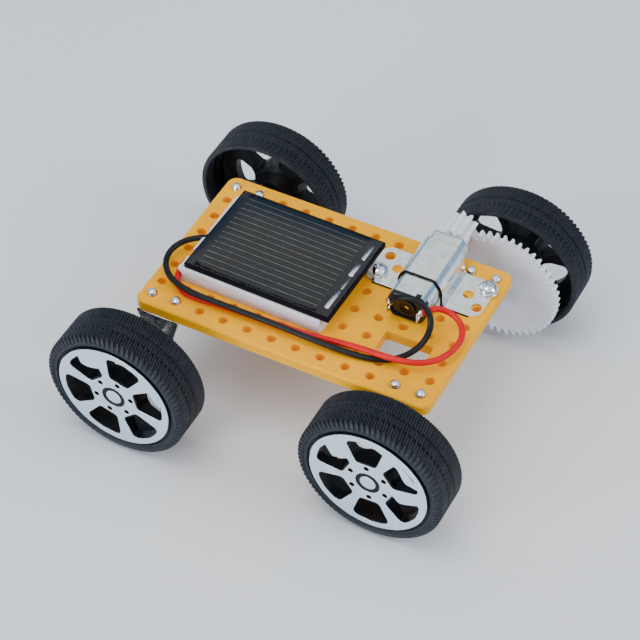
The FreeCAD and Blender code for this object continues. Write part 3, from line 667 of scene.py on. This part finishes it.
def add_tyre(wheel, body):
    """A tyre with its ribbed tread, in the place of the plain CAD one."""
    node = wheel + "_tyre"
    low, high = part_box(node)
    side = 1 if low.y > 0 else -1
    edge = (high.y if side > 0 else low.y) - side * TYRE_BULGE_MM * MM
    centre = (low + high) / 2
    columns = LUGS * STEPS_PER_LUG
    rows = len(TYRE_SECTION_MM)

    def point(column, row):
        radius, across = TYRE_SECTION_MM[row]
        turn = column / STEPS_PER_LUG
        angle = 2 * math.pi * column / columns
        radius -= tread_depth(turn, across, radius, side)
        return (
            centre.x + radius * MM * math.cos(angle),
            edge + side * across * MM,
            centre.z + radius * MM * math.sin(angle),
        )

    mesh = ring_mesh(wheel + "_ribbed_tyre", columns, rows, point)
    if side < 0:
        mesh.flip_normals()
    link_piece(wheel + "_ribbed_tyre", mesh, "tyre", body, [node], 38.0)


# ---------------------------- wheel faces
FOIL_RADIUS_MM = 11.57
FOIL_THICKNESS_MM = 0.14
FOIL_EDGE_MM = 0.045
FOIL_RAGGED_MM = 0.12       # how far the foil's torn rim wavers inwards
HUB_RING_MM = 2.38          # radius of the hole round the hub cap
HUB_RAGGED_MM = -0.03       # its edge wavers outwards
HUB_CAP_MM = 1.54
CAP_CROWN_MM = 0.05
LUG_CIRCLE_MM = 3.75
LUG_HOLE_MM = 0.52
WINDOWS = 6
WINDOW_RADII_MM = (5.1, 10.0)
WINDOW_BULGE_MM = (0.28, 0.4, 0.28)     # how far the outer side of a window bows out along its length
WINDOW_HALF_ANGLE = 21.0
WINDOW_CORNER_MM = 0.9
# The direction of each wheel's first window at rest, in degrees from +X towards +Z
WINDOW_TURNS = {"front_left": 12.0, "front_right": 6.0, "rear_left": 33.5, "rear_right": 32.5}
FLAP_HALF_THICKNESS_MM = 0.02
FLAP_EDGE_MM = 0.3
# Loose foil left in the windows: the window's direction, then the scrap's outline in shares of the
# window's half angle and of its radius
FOIL_FLAPS = {
    "front_left": [
        (132.0, [(-0.09, 1.15), (0.05, 0.92), (0.17, 0.77), (0.08, 0.62), (-0.25, 0.45), (-0.8, 0.38),
                 (-1.3, 0.38), (-1.3, 1.15)]),
        (12.0, [(1.3, 1.15), (1.3, 0.86), (0.74, 0.82), (0.39, 0.86), (0.1, 0.95), (-0.1, 1.15)]),
    ],
    "rear_left": [
        (153.5, [(-0.47, 1.15), (-0.33, 0.84), (-0.15, 0.68), (-0.05, 0.51), (-0.34, 0.42), (-0.59, 0.31),
                 (-1.3, 0.24), (-1.3, 1.15)]),
        (33.5, [(1.3, 1.15), (1.3, 0.7), (0.9, 0.8), (0.56, 0.73), (0.12, 0.63), (-0.33, 0.64),
                (-0.49, 0.79), (-0.67, 0.95), (-0.75, 1.15)]),
        (93.5, [(0.35, 1.15), (0.27, 1.0), (0.06, 0.93), (-0.12, 0.87), (-0.31, 0.97), (-0.57, 1.0),
                (-0.75, 0.94), (-1.3, 0.9), (-1.3, 1.15)]),
        (333.5, [(1.3, 1.1), (0.95, 0.95), (0.76, 0.68), (0.48, 0.48), (0.3, 0.26), (0.55, 0.08),
                 (0.9, -0.15), (1.3, -0.15)]),
    ],
}


def window_loop(turn):
    """The outline of one window between two spokes."""
    inner, outer = WINDOW_RADII_MM
    half = math.radians(WINDOW_HALF_ANGLE)
    middle = math.radians(turn)
    bow = [(outer + bulge, share, 0) for bulge, share in zip(WINDOW_BULGE_MM, (-0.5, 0, 0.5))]
    corners = []
    for radius, share, corner in (
        (inner, 1, WINDOW_CORNER_MM),
        (inner, -1, WINDOW_CORNER_MM),
        (outer, -1, WINDOW_CORNER_MM),
        *bow,
        (outer, 1, WINDOW_CORNER_MM),
    ):
        angle = middle + half * share
        corners.append((radius * math.cos(angle), radius * math.sin(angle), corner))
    return rounded_loop(corners)


def face_frame(wheel):
    """The side a wheel is on, and the matrix that puts a flat XY drawing on the wheel's face."""
    low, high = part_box(wheel + "_wheel_face")
    side = 1 if low.y > 0 else -1
    axes = Matrix(((-side, 0, 0), (0, 0, side), (0, 1, 0)))
    return side, Matrix.Translation((low + high) / 2) @ axes.to_4x4()


def mirrored(loop, side):
    """A loop drawn in the car's X and Z, as it appears in the drawing plane of a side's wheel."""
    return [Vector((-side * p.x, p.y)) for p in loop]


def add_wheel_face(wheel, body):
    """The silver foil face of a wheel, its hub cap, and foil scraps left in its windows."""
    node = wheel + "_wheel_face"
    side, matrix = face_frame(wheel)
    turn = WINDOW_TURNS[wheel]
    seed = list(WINDOW_TURNS).index(wheel)
    rim = circle(FOIL_RADIUS_MM, 180, ragged=FOIL_RAGGED_MM, seed=seed)
    hub_gap = circle(HUB_RING_MM, 48, ragged=HUB_RAGGED_MM, seed=seed)
    loops = [rim, hub_gap]
    for k in range(WINDOWS):
        degrees = turn + 360 / WINDOWS * k
        angle = math.radians(degrees)
        loops.append(window_loop(degrees))
        x = LUG_CIRCLE_MM * math.cos(angle)
        y = LUG_CIRCLE_MM * math.sin(angle)
        loops.append(circle(LUG_HOLE_MM, 20, x, y))
    loops = [mirrored(loop, side) for loop in loops]
    foil = sheet_from_loops("foil", loops, FOIL_THICKNESS_MM, FOIL_EDGE_MM)
    foil.transform(matrix)
    link_piece(wheel + "_foil_face", foil, "silver_foil", body, [node])
    cap = dome_mesh("cap", HUB_CAP_MM, FOIL_THICKNESS_MM, CAP_CROWN_MM)
    cap.transform(matrix)
    link_piece(wheel + "_hub_cap", cap, "silver_foil", body, [node])
    for number, (window, outline) in enumerate(FOIL_FLAPS.get(wheel, [])):
        flap = flap_mesh(window, outline, side, number)
        flap.transform(matrix)
        link_piece(wheel + "_foil_flap_" + str(number + 1), flap, "silver_foil", body)


def dome_mesh(name, radius_mm, height_mm, crown_mm):
    """A low round button in the XY plane, with a rounded rim and a slight crown."""
    top = height_mm / 2
    section = [
        (0.0, top + crown_mm),
        (0.4, top + crown_mm * 0.8),
        (0.8, top + crown_mm * 0.3),
        (0.95, top),
        (1.0, top - 0.04),
        (1.0, -top),
        (0.0, -top),
    ]
    return spun_mesh(name, [(share * radius_mm, z) for share, z in section], 48)


def turned_faces(count, rows, upwards=False):
    """Faces round count columns of rows vertices each, closed by a first and a last vertex on the axis."""
    last = 1 + count * rows
    faces = []
    for k in range(count):
        here = 1 + k * rows
        there = 1 + (k + 1) % count * rows
        faces.append((0, here, there))
        faces.append((last, there + rows - 1, here + rows - 1))
        for r in range(rows - 1):
            faces.append((here + r, here + r + 1, there + r + 1, there + r))
    if upwards:
        faces = [(face[0], *reversed(face[1:])) for face in faces]
    return faces


def spun_mesh(name, section_mm, count):
    """A section of (radius, z) points turned about Z, from its top on the axis to its foot on it."""
    vertices = [(0.0, 0.0, section_mm[0][1] * MM)]
    inner = section_mm[1:-1]
    for k in range(count):
        angle = 2 * math.pi * k / count
        for radius, z in inner:
            vertices.append((radius * MM * math.cos(angle), radius * MM * math.sin(angle), z * MM))
    vertices.append((0.0, 0.0, section_mm[-1][1] * MM))
    return mesh_from(name, vertices, turned_faces(count, len(inner)))


def softened(loop, rounds=2):
    """A closed outline with its corners cut, again and again, to a smooth line."""
    for _ in range(rounds):
        cut = []
        for here, following in zip(loop, loop[1:] + loop[:1]):
            cut.append(here.lerp(following, 0.25))
            cut.append(here.lerp(following, 0.75))
        loop = cut
    return loop


def flap_mesh(window, outline, side, seed):
    """A thin crumpled scrap of foil that covers part of a window, in the drawing plane."""
    inner, outer = WINDOW_RADII_MM
    loop = []
    for share, depth in outline:
        angle = math.radians(window + WINDOW_HALF_ANGLE * share)
        radius = inner + (outer - inner) * depth
        loop.append(Vector((radius * math.cos(angle), radius * math.sin(angle))))
    loop = mirrored(softened(loop), side)
    count = len(loop)
    triangles = geometry.tessellate_polygon([[place.to_3d() for place in loop]])
    levels = (FLAP_HALF_THICKNESS_MM, -FLAP_HALF_THICKNESS_MM)
    vertices = [(place.x * MM, place.y * MM, z * MM) for z in levels for place in loop]
    faces = [tuple(triangle) for triangle in triangles]
    faces += [tuple(index + count for index in reversed(triangle)) for triangle in triangles]
    faces += [(k, (k + 1) % count, (k + 1) % count + count, k + count) for k in range(count)]
    work = bmesh.new()
    work.from_mesh(mesh_from("flap", vertices, faces))
    bmesh.ops.recalc_face_normals(work, faces=work.faces[:])
    long_edges = [edge for edge in work.edges if edge.calc_length() > FLAP_EDGE_MM * MM]
    bmesh.ops.subdivide_edges(work, edges=long_edges, cuts=2)
    for vertex in work.verts:
        place = vertex.co / MM
        crumple = noise.noise(Vector((place.x * 0.9, place.y * 0.9, seed * 3.0)))
        vertex.co.z -= (0.01 + 0.03 * (crumple + 0.5)) * MM
    bmesh.ops.triangulate(work, faces=work.faces[:])
    flap = bpy.data.meshes.new("flap")
    work.to_mesh(flap)
    work.free()
    return flap


# ---------------------------- solar panel
PANEL_TURN = math.radians(-1.15)
PANEL_SIZE_MM = (30.3, 22.0)
RESIN_MARGIN_MM = 0.3
RESIN_SLOPE_MM = 2.9
RESIN_EDGE_MM = 0.12        # height at the edges
RESIN_RISE_MM = 0.6
RESIN_FLOOR_MM = -0.05      # just inside the board, so no air gap is left under the resin
RESIN_GRID = (96, 72)
FINGER_PITCH_MM = 1.4
FINGER_COUNT = 14
FINGER_SPAN_MM = (-13.0, 11.9)
FINGER_WIDTH_MM = 0.062
FINGER_LEVELS_MM = (-0.005, 0.012)      # from the cells' top
RIBBON_X_MM = 13.5
RIBBON_WIDTH_MM = 0.92
RIBBON_LEVELS_MM = (0.06, 0.14)         # from the board's top
RIBBON_EDGE_MM = 0.03
# Each ribbon's two ends in millimetres, and its tilt in degrees
RIBBONS = ((4.9, 9.0, 4.5), (0.2, 3.7, -2.0), (-3.5, 0.0, 11.0), (-8.8, -3.7, -1.0))


def panel_matrix(z):
    """From the panel's own centre, at a height, to the car's frame."""
    low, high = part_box("panel_board")
    centre = (low + high) / 2
    return Matrix.Translation((centre.x, centre.y, z)) @ Matrix.Rotation(PANEL_TURN, 4, "Z")


def resin_height(x, y, half_x, half_y):
    """Height of the cast resin: nearly flat, falling away in a soft slope towards its edges."""
    share = 1.0
    for inset in (half_x - abs(x), half_y - abs(y)):
        share *= 1.0 - math.exp(-inset / RESIN_SLOPE_MM) if inset > 0 else 0.0
    return RESIN_EDGE_MM + RESIN_RISE_MM * share


def add_resin():
    """The clear cast cover, on a grid of vertices that is finer towards its edges."""
    half_x = PANEL_SIZE_MM[0] / 2 - RESIN_MARGIN_MM
    half_y = PANEL_SIZE_MM[1] / 2 - RESIN_MARGIN_MM
    nx, ny = RESIN_GRID
    xs = [half_x * math.sin(math.pi / 2 * (2 * i / nx - 1)) for i in range(nx + 1)]
    ys = [half_y * math.sin(math.pi / 2 * (2 * j / ny - 1)) for j in range(ny + 1)]
    vertices = [(x * MM, y * MM, resin_height(x, y, half_x, half_y) * MM) for x in xs for y in ys]
    vertices += [(x * MM, y * MM, RESIN_FLOOR_MM * MM) for x in xs for y in ys]
    row = ny + 1
    count = (nx + 1) * row
    faces = []
    for i in range(nx):
        for j in range(ny):
            a = i * row + j
            faces.append((a, a + row, a + row + 1, a + 1))
            faces.append((count + a, count + a + 1, count + a + row + 1, count + a + row))
    rim = [i * row for i in range(nx + 1)] + [nx * row + j for j in range(1, row)]
    rim += [i * row + ny for i in range(nx - 1, -1, -1)] + [j for j in range(ny - 1, 0, -1)]
    for a, b in zip(rim, rim[1:] + rim[:1]):
        faces.append((a, count + a, count + b, b))
    mesh = mesh_from("panel_resin", vertices, faces)
    mesh.transform(panel_matrix(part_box("panel_board")[1].z))
    link_piece("panel_resin", mesh, "clear_epoxy", CHASSIS, ["panel_epoxy"], 60.0)


def plate(x_span, y_span, z_span, tilt=0.0):
    """Eight corners and six faces of a small plate in millimetres, tilted about its long axis."""
    corners = []
    middle = (sum(x_span) / 2, sum(z_span) / 2)
    for x in x_span:
        for y in y_span:
            for z in z_span:
                dx, dz = x - middle[0], z - middle[1]
                corners.append((
                    (middle[0] + dx * math.cos(tilt) - dz * math.sin(tilt)) * MM,
                    y * MM,
                    (middle[1] + dx * math.sin(tilt) + dz * math.cos(tilt)) * MM,
                ))
    faces = [(0, 1, 3, 2), (4, 6, 7, 5), (0, 4, 5, 1), (2, 3, 7, 6), (0, 2, 6, 4), (1, 5, 7, 3)]
    return corners, faces


def plates_mesh(name, plates):
    """One mesh of many small plates."""
    vertices, faces = [], []
    for corners, sides in plates:
        start = len(vertices)
        vertices += corners
        faces += [tuple(start + index for index in side) for side in sides]
    return mesh_from(name, vertices, faces)


def bevelled(mesh, width_mm):
    """Rounds every edge of a mesh a little."""
    work = bmesh.new()
    work.from_mesh(mesh)
    edges = work.edges[:]
    bmesh.ops.bevel(work, geom=edges, offset=width_mm * MM, segments=2, affect="EDGES", profile=0.5)
    work.to_mesh(mesh)
    work.free()
    return mesh


def add_cell_lines():
    """Fine lines printed on the cells, and the flat ribbons that join the cells."""
    first = (FINGER_COUNT - 1) / 2 * FINGER_PITCH_MM
    half = FINGER_WIDTH_MM / 2
    lines = []
    for i in range(FINGER_COUNT):
        y = first - i * FINGER_PITCH_MM
        lines.append(plate(FINGER_SPAN_MM, (y - half, y + half), FINGER_LEVELS_MM))
    mesh = plates_mesh("cell_lines", lines)
    mesh.transform(panel_matrix(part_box("solar_cells")[1].z))
    printed = link_piece("cell_lines", mesh, "tinned_metal", CHASSIS)
    printed.data.materials[0] = silver_paste()
    half = RIBBON_WIDTH_MM / 2
    across = (RIBBON_X_MM - half, RIBBON_X_MM + half)
    strips = []
    for low, high, tilt in RIBBONS:
        strips.append(plate(across, (low, high), RIBBON_LEVELS_MM, math.radians(tilt)))
    ribbons = bevelled(plates_mesh("flat_ribbons", strips), RIBBON_EDGE_MM)
    ribbons.transform(panel_matrix(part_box("panel_board")[1].z))
    link_piece("flat_ribbons", ribbons, "tinned_metal", CHASSIS, ["cell_ribbons"])


# ---------------------------- foam tape
FOAM_VOXEL_MM = 0.2
FOAM_INSET_MM = 0.05        # how far the sides are drawn in everywhere
FOAM_HOLLOW_MM = 0.12       # and how much further where the cut wavers


def add_foam():
    """The foam pad: soft rounded edges and a hand-cut uneven side."""
    holder = placed("foam", frame["nodes"]["foam_tape_pad"].data.copy())
    remesh = holder.modifiers.new("remesh", "REMESH")
    remesh.mode = "VOXEL"
    remesh.voxel_size = FOAM_VOXEL_MM * MM
    smooth = holder.modifiers.new("smooth", "SMOOTH")
    smooth.factor = 0.5
    smooth.iterations = 3
    mesh = mesh_of(holder)
    bpy.data.objects.remove(holder)
    normals = [v.normal.copy() for v in mesh.vertices]
    for vertex, normal in zip(mesh.vertices, normals):
        place = vertex.co / MM
        wave = noise.noise(place * 0.35) + 0.5 * noise.noise(place * 1.1 + Vector((7.0, 3.0, 1.0)))
        side = 1.0 - abs(normal.z)
        vertex.co -= normal * (FOAM_INSET_MM + FOAM_HOLLOW_MM * max(0.0, wave)) * side * MM
    piece = link_piece("foam_pad", mesh, "foam", CHASSIS, ["foam_tape_pad"], 80.0)


# ---------------------------- screws and solder
SCREW_PITCH_MM = 0.4
THREAD_DEPTH_MM = 0.14
THREAD_ROWS_PER_PITCH = 8
SHANK_RADIUS_MM = 0.87
BRACKET_HEAD_MM = 1.1       # height of a bracket screw's head
HEAD_DROP = 0.62            # share of a head's height that its dome loses at the rim
HEAD_ROUNDNESS = 3.2
# Length and width of the recess's arms, in shares of its size
CROSS_TOP = (1.0, 0.3)
CROSS_BOTTOM = (0.45, 0.12)
CUTTER_RISE_MM = 0.3
SCREW_SHARP = 35.0          # degrees above which an edge looks sharp
SOLDER_SHARP = 60.0
SOLDER_SHRINK = 0.93        # the lumps swing the blob's size about this share
SOLDER_LUMPS = 0.13


def thread_mesh(name, low_mm, high_mm, blunt_mm):
    """A screw thread along Z with a blunt tip at its high end, about its own axis."""
    count = 36
    step = SCREW_PITCH_MM / THREAD_ROWS_PER_PITCH
    rows = int((high_mm - low_mm) / step) + 1
    vertices = [(0.0, 0.0, low_mm * MM)]
    for k in range(count):
        angle = 2 * math.pi * k / count
        for r in range(rows):
            z = low_mm + r * (high_mm - low_mm) / (rows - 1)
            swing = abs((z / SCREW_PITCH_MM - k / count) % 1.0 - 0.5) * 2
            radius = SHANK_RADIUS_MM - THREAD_DEPTH_MM * (1 - swing)
            taper = max(0.0, (z - (high_mm - blunt_mm)) / blunt_mm)
            radius *= math.sqrt(max(0.05, 1 - 0.75 * taper * taper))
            vertices.append((radius * MM * math.cos(angle), radius * MM * math.sin(angle), z * MM))
    vertices.append((0.0, 0.0, high_mm * MM))
    return mesh_from(name, vertices, turned_faces(count, rows, upwards=True))


def cross_cutter(size_mm, depth_mm):
    """A tapered cross to cut a screwdriver recess, pointing down from Z = 0."""
    cutter = bmesh.new()
    for turn in (0.0, math.pi / 2):
        arm = bmesh.ops.create_cube(cutter, size=1.0)["verts"]
        for vertex in arm:
            deep = vertex.co.z < 0
            length, width = CROSS_BOTTOM if deep else CROSS_TOP
            x = vertex.co.x * 2 * size_mm * length
            y = vertex.co.y * 2 * size_mm * width
            vertex.co = Vector((x, y, -depth_mm if deep else CUTTER_RISE_MM))
            vertex.co.rotate(Matrix.Rotation(turn, 3, "Z"))
            vertex.co *= MM
    mesh = bpy.data.meshes.new("cross")
    cutter.to_mesh(mesh)
    cutter.free()
    return mesh


def pan_head(radius_mm, height_mm, turn):
    """A domed screw head standing on Z = 0, with a cross recess."""
    section = [(0.0, height_mm)]
    for share in (0.25, 0.5, 0.68, 0.82, 0.92, 0.98, 1.0):
        section.append((share * radius_mm, height_mm * (1 - HEAD_DROP * share ** HEAD_ROUNDNESS)))
    section += [(radius_mm, 0.12), (radius_mm - 0.08, 0.0), (0.0, 0.0)]
    head = placed("head", spun_mesh("head", section, 48))
    cross = placed("cross", cross_cutter(radius_mm * 0.58, height_mm * 0.55))
    cross.location = (0, 0, height_mm * 0.93 * MM)
    cross.rotation_euler = (0, 0, turn)
    cut = head.modifiers.new("recess", "BOOLEAN")
    cut.operation = "DIFFERENCE"
    cut.solver = "EXACT"
    cut.use_self = True
    cut.object = cross
    mesh = mesh_of(head)
    for item in (head, cross):
        bpy.data.objects.remove(item)
    return mesh


def joined(name, meshes):
    """Several meshes as one."""
    work = bmesh.new()
    for mesh in meshes:
        work.from_mesh(mesh)
    result = bpy.data.meshes.new(name)
    work.to_mesh(result)
    work.free()
    return result


def moved(mesh, matrix):
    """A copy of a mesh in another place."""
    copy = mesh.copy()
    copy.transform(matrix)
    return copy


def solids_of(node):
    """The bounding box of each separate solid of a CAD node."""
    work = bmesh.new()
    work.from_mesh(frame["nodes"][node].data)
    bmesh.ops.remove_doubles(work, verts=work.verts[:], dist=1e-7)
    left = set(work.verts)
    boxes = []
    while left:
        start = left.pop()
        group, queue = [start], [start]
        while queue:
            for edge in queue.pop().link_edges:
                for vertex in edge.verts:
                    if vertex in left:
                        left.remove(vertex)
                        group.append(vertex)
                        queue.append(vertex)
        low = Vector([min(v.co[axis] for v in group) for axis in range(3)])
        high = Vector([max(v.co[axis] for v in group) for axis in range(3)])
        boxes.append((low, high))
    work.free()
    return sorted(boxes, key=lambda pair: (round(pair[0].x, 4), round(pair[0].y, 4)))


def half_width_mm(low, high):
    """Half the width of a box along X, in millimetres."""
    return (high.x - low.x) / 2 / MM


def add_bracket_screws(end):
    """Screws that come up through the brackets and stand a little out of the deck."""
    node = end + "_bracket_screws"
    for number, (low, high) in enumerate(solids_of(node)):
        centre = (low + high) / 2
        seat = low.z / MM + BRACKET_HEAD_MM
        head = pan_head(half_width_mm(low, high), BRACKET_HEAD_MM, 0.4 + number)
        thread = thread_mesh("thread", 0.0, high.z / MM - seat, 0.35)
        place = Matrix.Translation((centre.x, centre.y, seat * MM))
        flip = place @ Matrix.Rotation(math.pi, 4, "X")
        spin = place @ Matrix.Rotation(number * 1.3, 4, "Z")
        mesh = joined(node, [moved(head, flip), moved(thread, spin)])
        name = end + "_deck_screw_" + str(number + 1)
        link_piece(name, mesh, "screw_steel", CHASSIS, [node], SCREW_SHARP)


def add_clamp_screws():
    """The two domed screws that hold the motor clamp, each on its washer."""
    node = "clamp_screws"
    washer_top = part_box("clamp_washers")[1].z
    for number, (low, high) in enumerate(solids_of(node)):
        centre = (low + high) / 2
        height = (high.z - washer_top) / MM
        head = pan_head(half_width_mm(low, high), height, 0.5 + 0.9 * number)
        thread = thread_mesh("thread", 0.0, (washer_top - low.z) / MM, 0.4)
        up = Matrix.Translation((centre.x, centre.y, washer_top))
        down = up @ Matrix.Rotation(math.pi, 4, "X")
        mesh = joined("clamp_screw", [moved(head, up), moved(thread, down)])
        name = "clamp_screw_" + str(number + 1)
        link_piece(name, mesh, "screw_steel", CHASSIS, [node], SCREW_SHARP)


def add_solder():
    """Lumpy solder where the wires meet the motor's terminals."""
    node = "terminal_solder"
    for number, (low, high) in enumerate(solids_of(node)):
        work = bmesh.new()
        bmesh.ops.create_icosphere(work, subdivisions=4, radius=half_width_mm(low, high) * MM)
        for vertex in work.verts:
            place = vertex.co / MM
            lump = noise.noise(place * 1.6 + Vector((number * 5.0, 2.0, 1.0)))
            vertex.co *= SOLDER_SHRINK + SOLDER_LUMPS * lump
        mesh = bpy.data.meshes.new("solder")
        work.to_mesh(mesh)
        work.free()
        mesh.transform(Matrix.Translation((low + high) / 2))
        name = "terminal_solder_" + str(number + 1)
        link_piece(name, mesh, "tinned_metal", CHASSIS, [node], SOLDER_SHARP)


# ---------------------------- studio
FLOOR_HALF_SIZE = 3.0
WORLD_STRENGTH = 1.1
HORIZON_COLOR = (0.2, 0.36, 0.6, 1.0)
ZENITH_COLOR = (0.95, 0.98, 1.0, 1.0)
SKY_HEIGHTS = (0.52, 0.7)       # where the sky starts to brighten and where it is brightest
WARM_WHITE = (1.0, 0.99, 0.97)
COOL_WHITE = (0.92, 0.96, 1.0)
# Name, place, size, power in watts and colour of each light
LIGHTS = (
    ("top light", (-0.12, -0.16, 0.8), 0.5, 2.2, WARM_WHITE),
    ("side light", (0.62, 0.1, 0.4), 0.35, 2.2, WARM_WHITE),
    ("front light", (-0.3, -0.75, 0.22), 0.5, 5.5, COOL_WHITE),
)


def add_floor():
    """A plain pale floor of paper."""
    work = bmesh.new()
    bmesh.ops.create_grid(work, x_segments=8, y_segments=8, size=FLOOR_HALF_SIZE)
    mesh = bpy.data.meshes.new("floor")
    work.to_mesh(mesh)
    work.free()
    floor = placed("floor", mesh)
    look = Look("floor paper", (0.78, 0.79, 0.8), 0.6)
    look.vary_color(look.noise(60.0), (0.76, 0.77, 0.785))
    mesh.materials.append(look.material)


def add_light(name, place, size, power, color):
    """A round soft light aimed at the middle of the floor."""
    data = bpy.data.lights.new(name, "AREA")
    data.shape = "DISK"
    data.size = size
    data.energy = power
    data.color = color
    light = placed(name, data)
    light.location = place
    light.rotation_mode = "QUATERNION"
    light.rotation_quaternion = (-Vector(place)).to_track_quat("-Z", "Y")


def add_sky():
    """A sky that is pale overhead and bluer and darker towards the horizon."""
    world = bpy.data.worlds.new("studio")
    bpy.context.scene.world = world
    world.use_nodes = True
    tree = world.node_tree
    background = tree.nodes["Background"]
    background.inputs["Strength"].default_value = WORLD_STRENGTH
    place = tree.nodes.new("ShaderNodeTexCoord")
    split = tree.nodes.new("ShaderNodeSeparateXYZ")
    height = tree.nodes.new("ShaderNodeMapRange")
    height.interpolation_type = "SMOOTHSTEP"
    height.inputs["From Min"].default_value = SKY_HEIGHTS[0]
    height.inputs["From Max"].default_value = SKY_HEIGHTS[1]
    sky = tree.nodes.new("ShaderNodeMix")
    sky.data_type = "RGBA"
    sky.inputs[MIX_FIRST_COLOR].default_value = HORIZON_COLOR
    sky.inputs[MIX_SECOND_COLOR].default_value = ZENITH_COLOR
    tree.links.new(place.outputs["Generated"], split.inputs["Vector"])
    tree.links.new(split.outputs["Z"], height.inputs["Value"])
    tree.links.new(height.outputs["Result"], sky.inputs["Factor"])
    tree.links.new(sky.outputs[MIX_RESULT_COLOR], background.inputs["Color"])


# ---------------------------- build
add_camera()
add_wire("black_lead", BLACK_ROUTE, "black_wire", "black_insulation")
add_wire("red_lead", RED_ROUTE, "red_wire", "red_insulation")
dress_cad_nodes()
for wheel_name, wheel_body in WHEELS.items():
    add_tyre(wheel_name, wheel_body)
    add_wheel_face(wheel_name, wheel_body)
add_resin()
add_cell_lines()
add_foam()
for axle_end in ("front", "rear"):
    add_bracket_screws(axle_end)
add_clamp_screws()
add_solder()
add_floor()
for light in LIGHTS:
    add_light(*light)
add_sky()
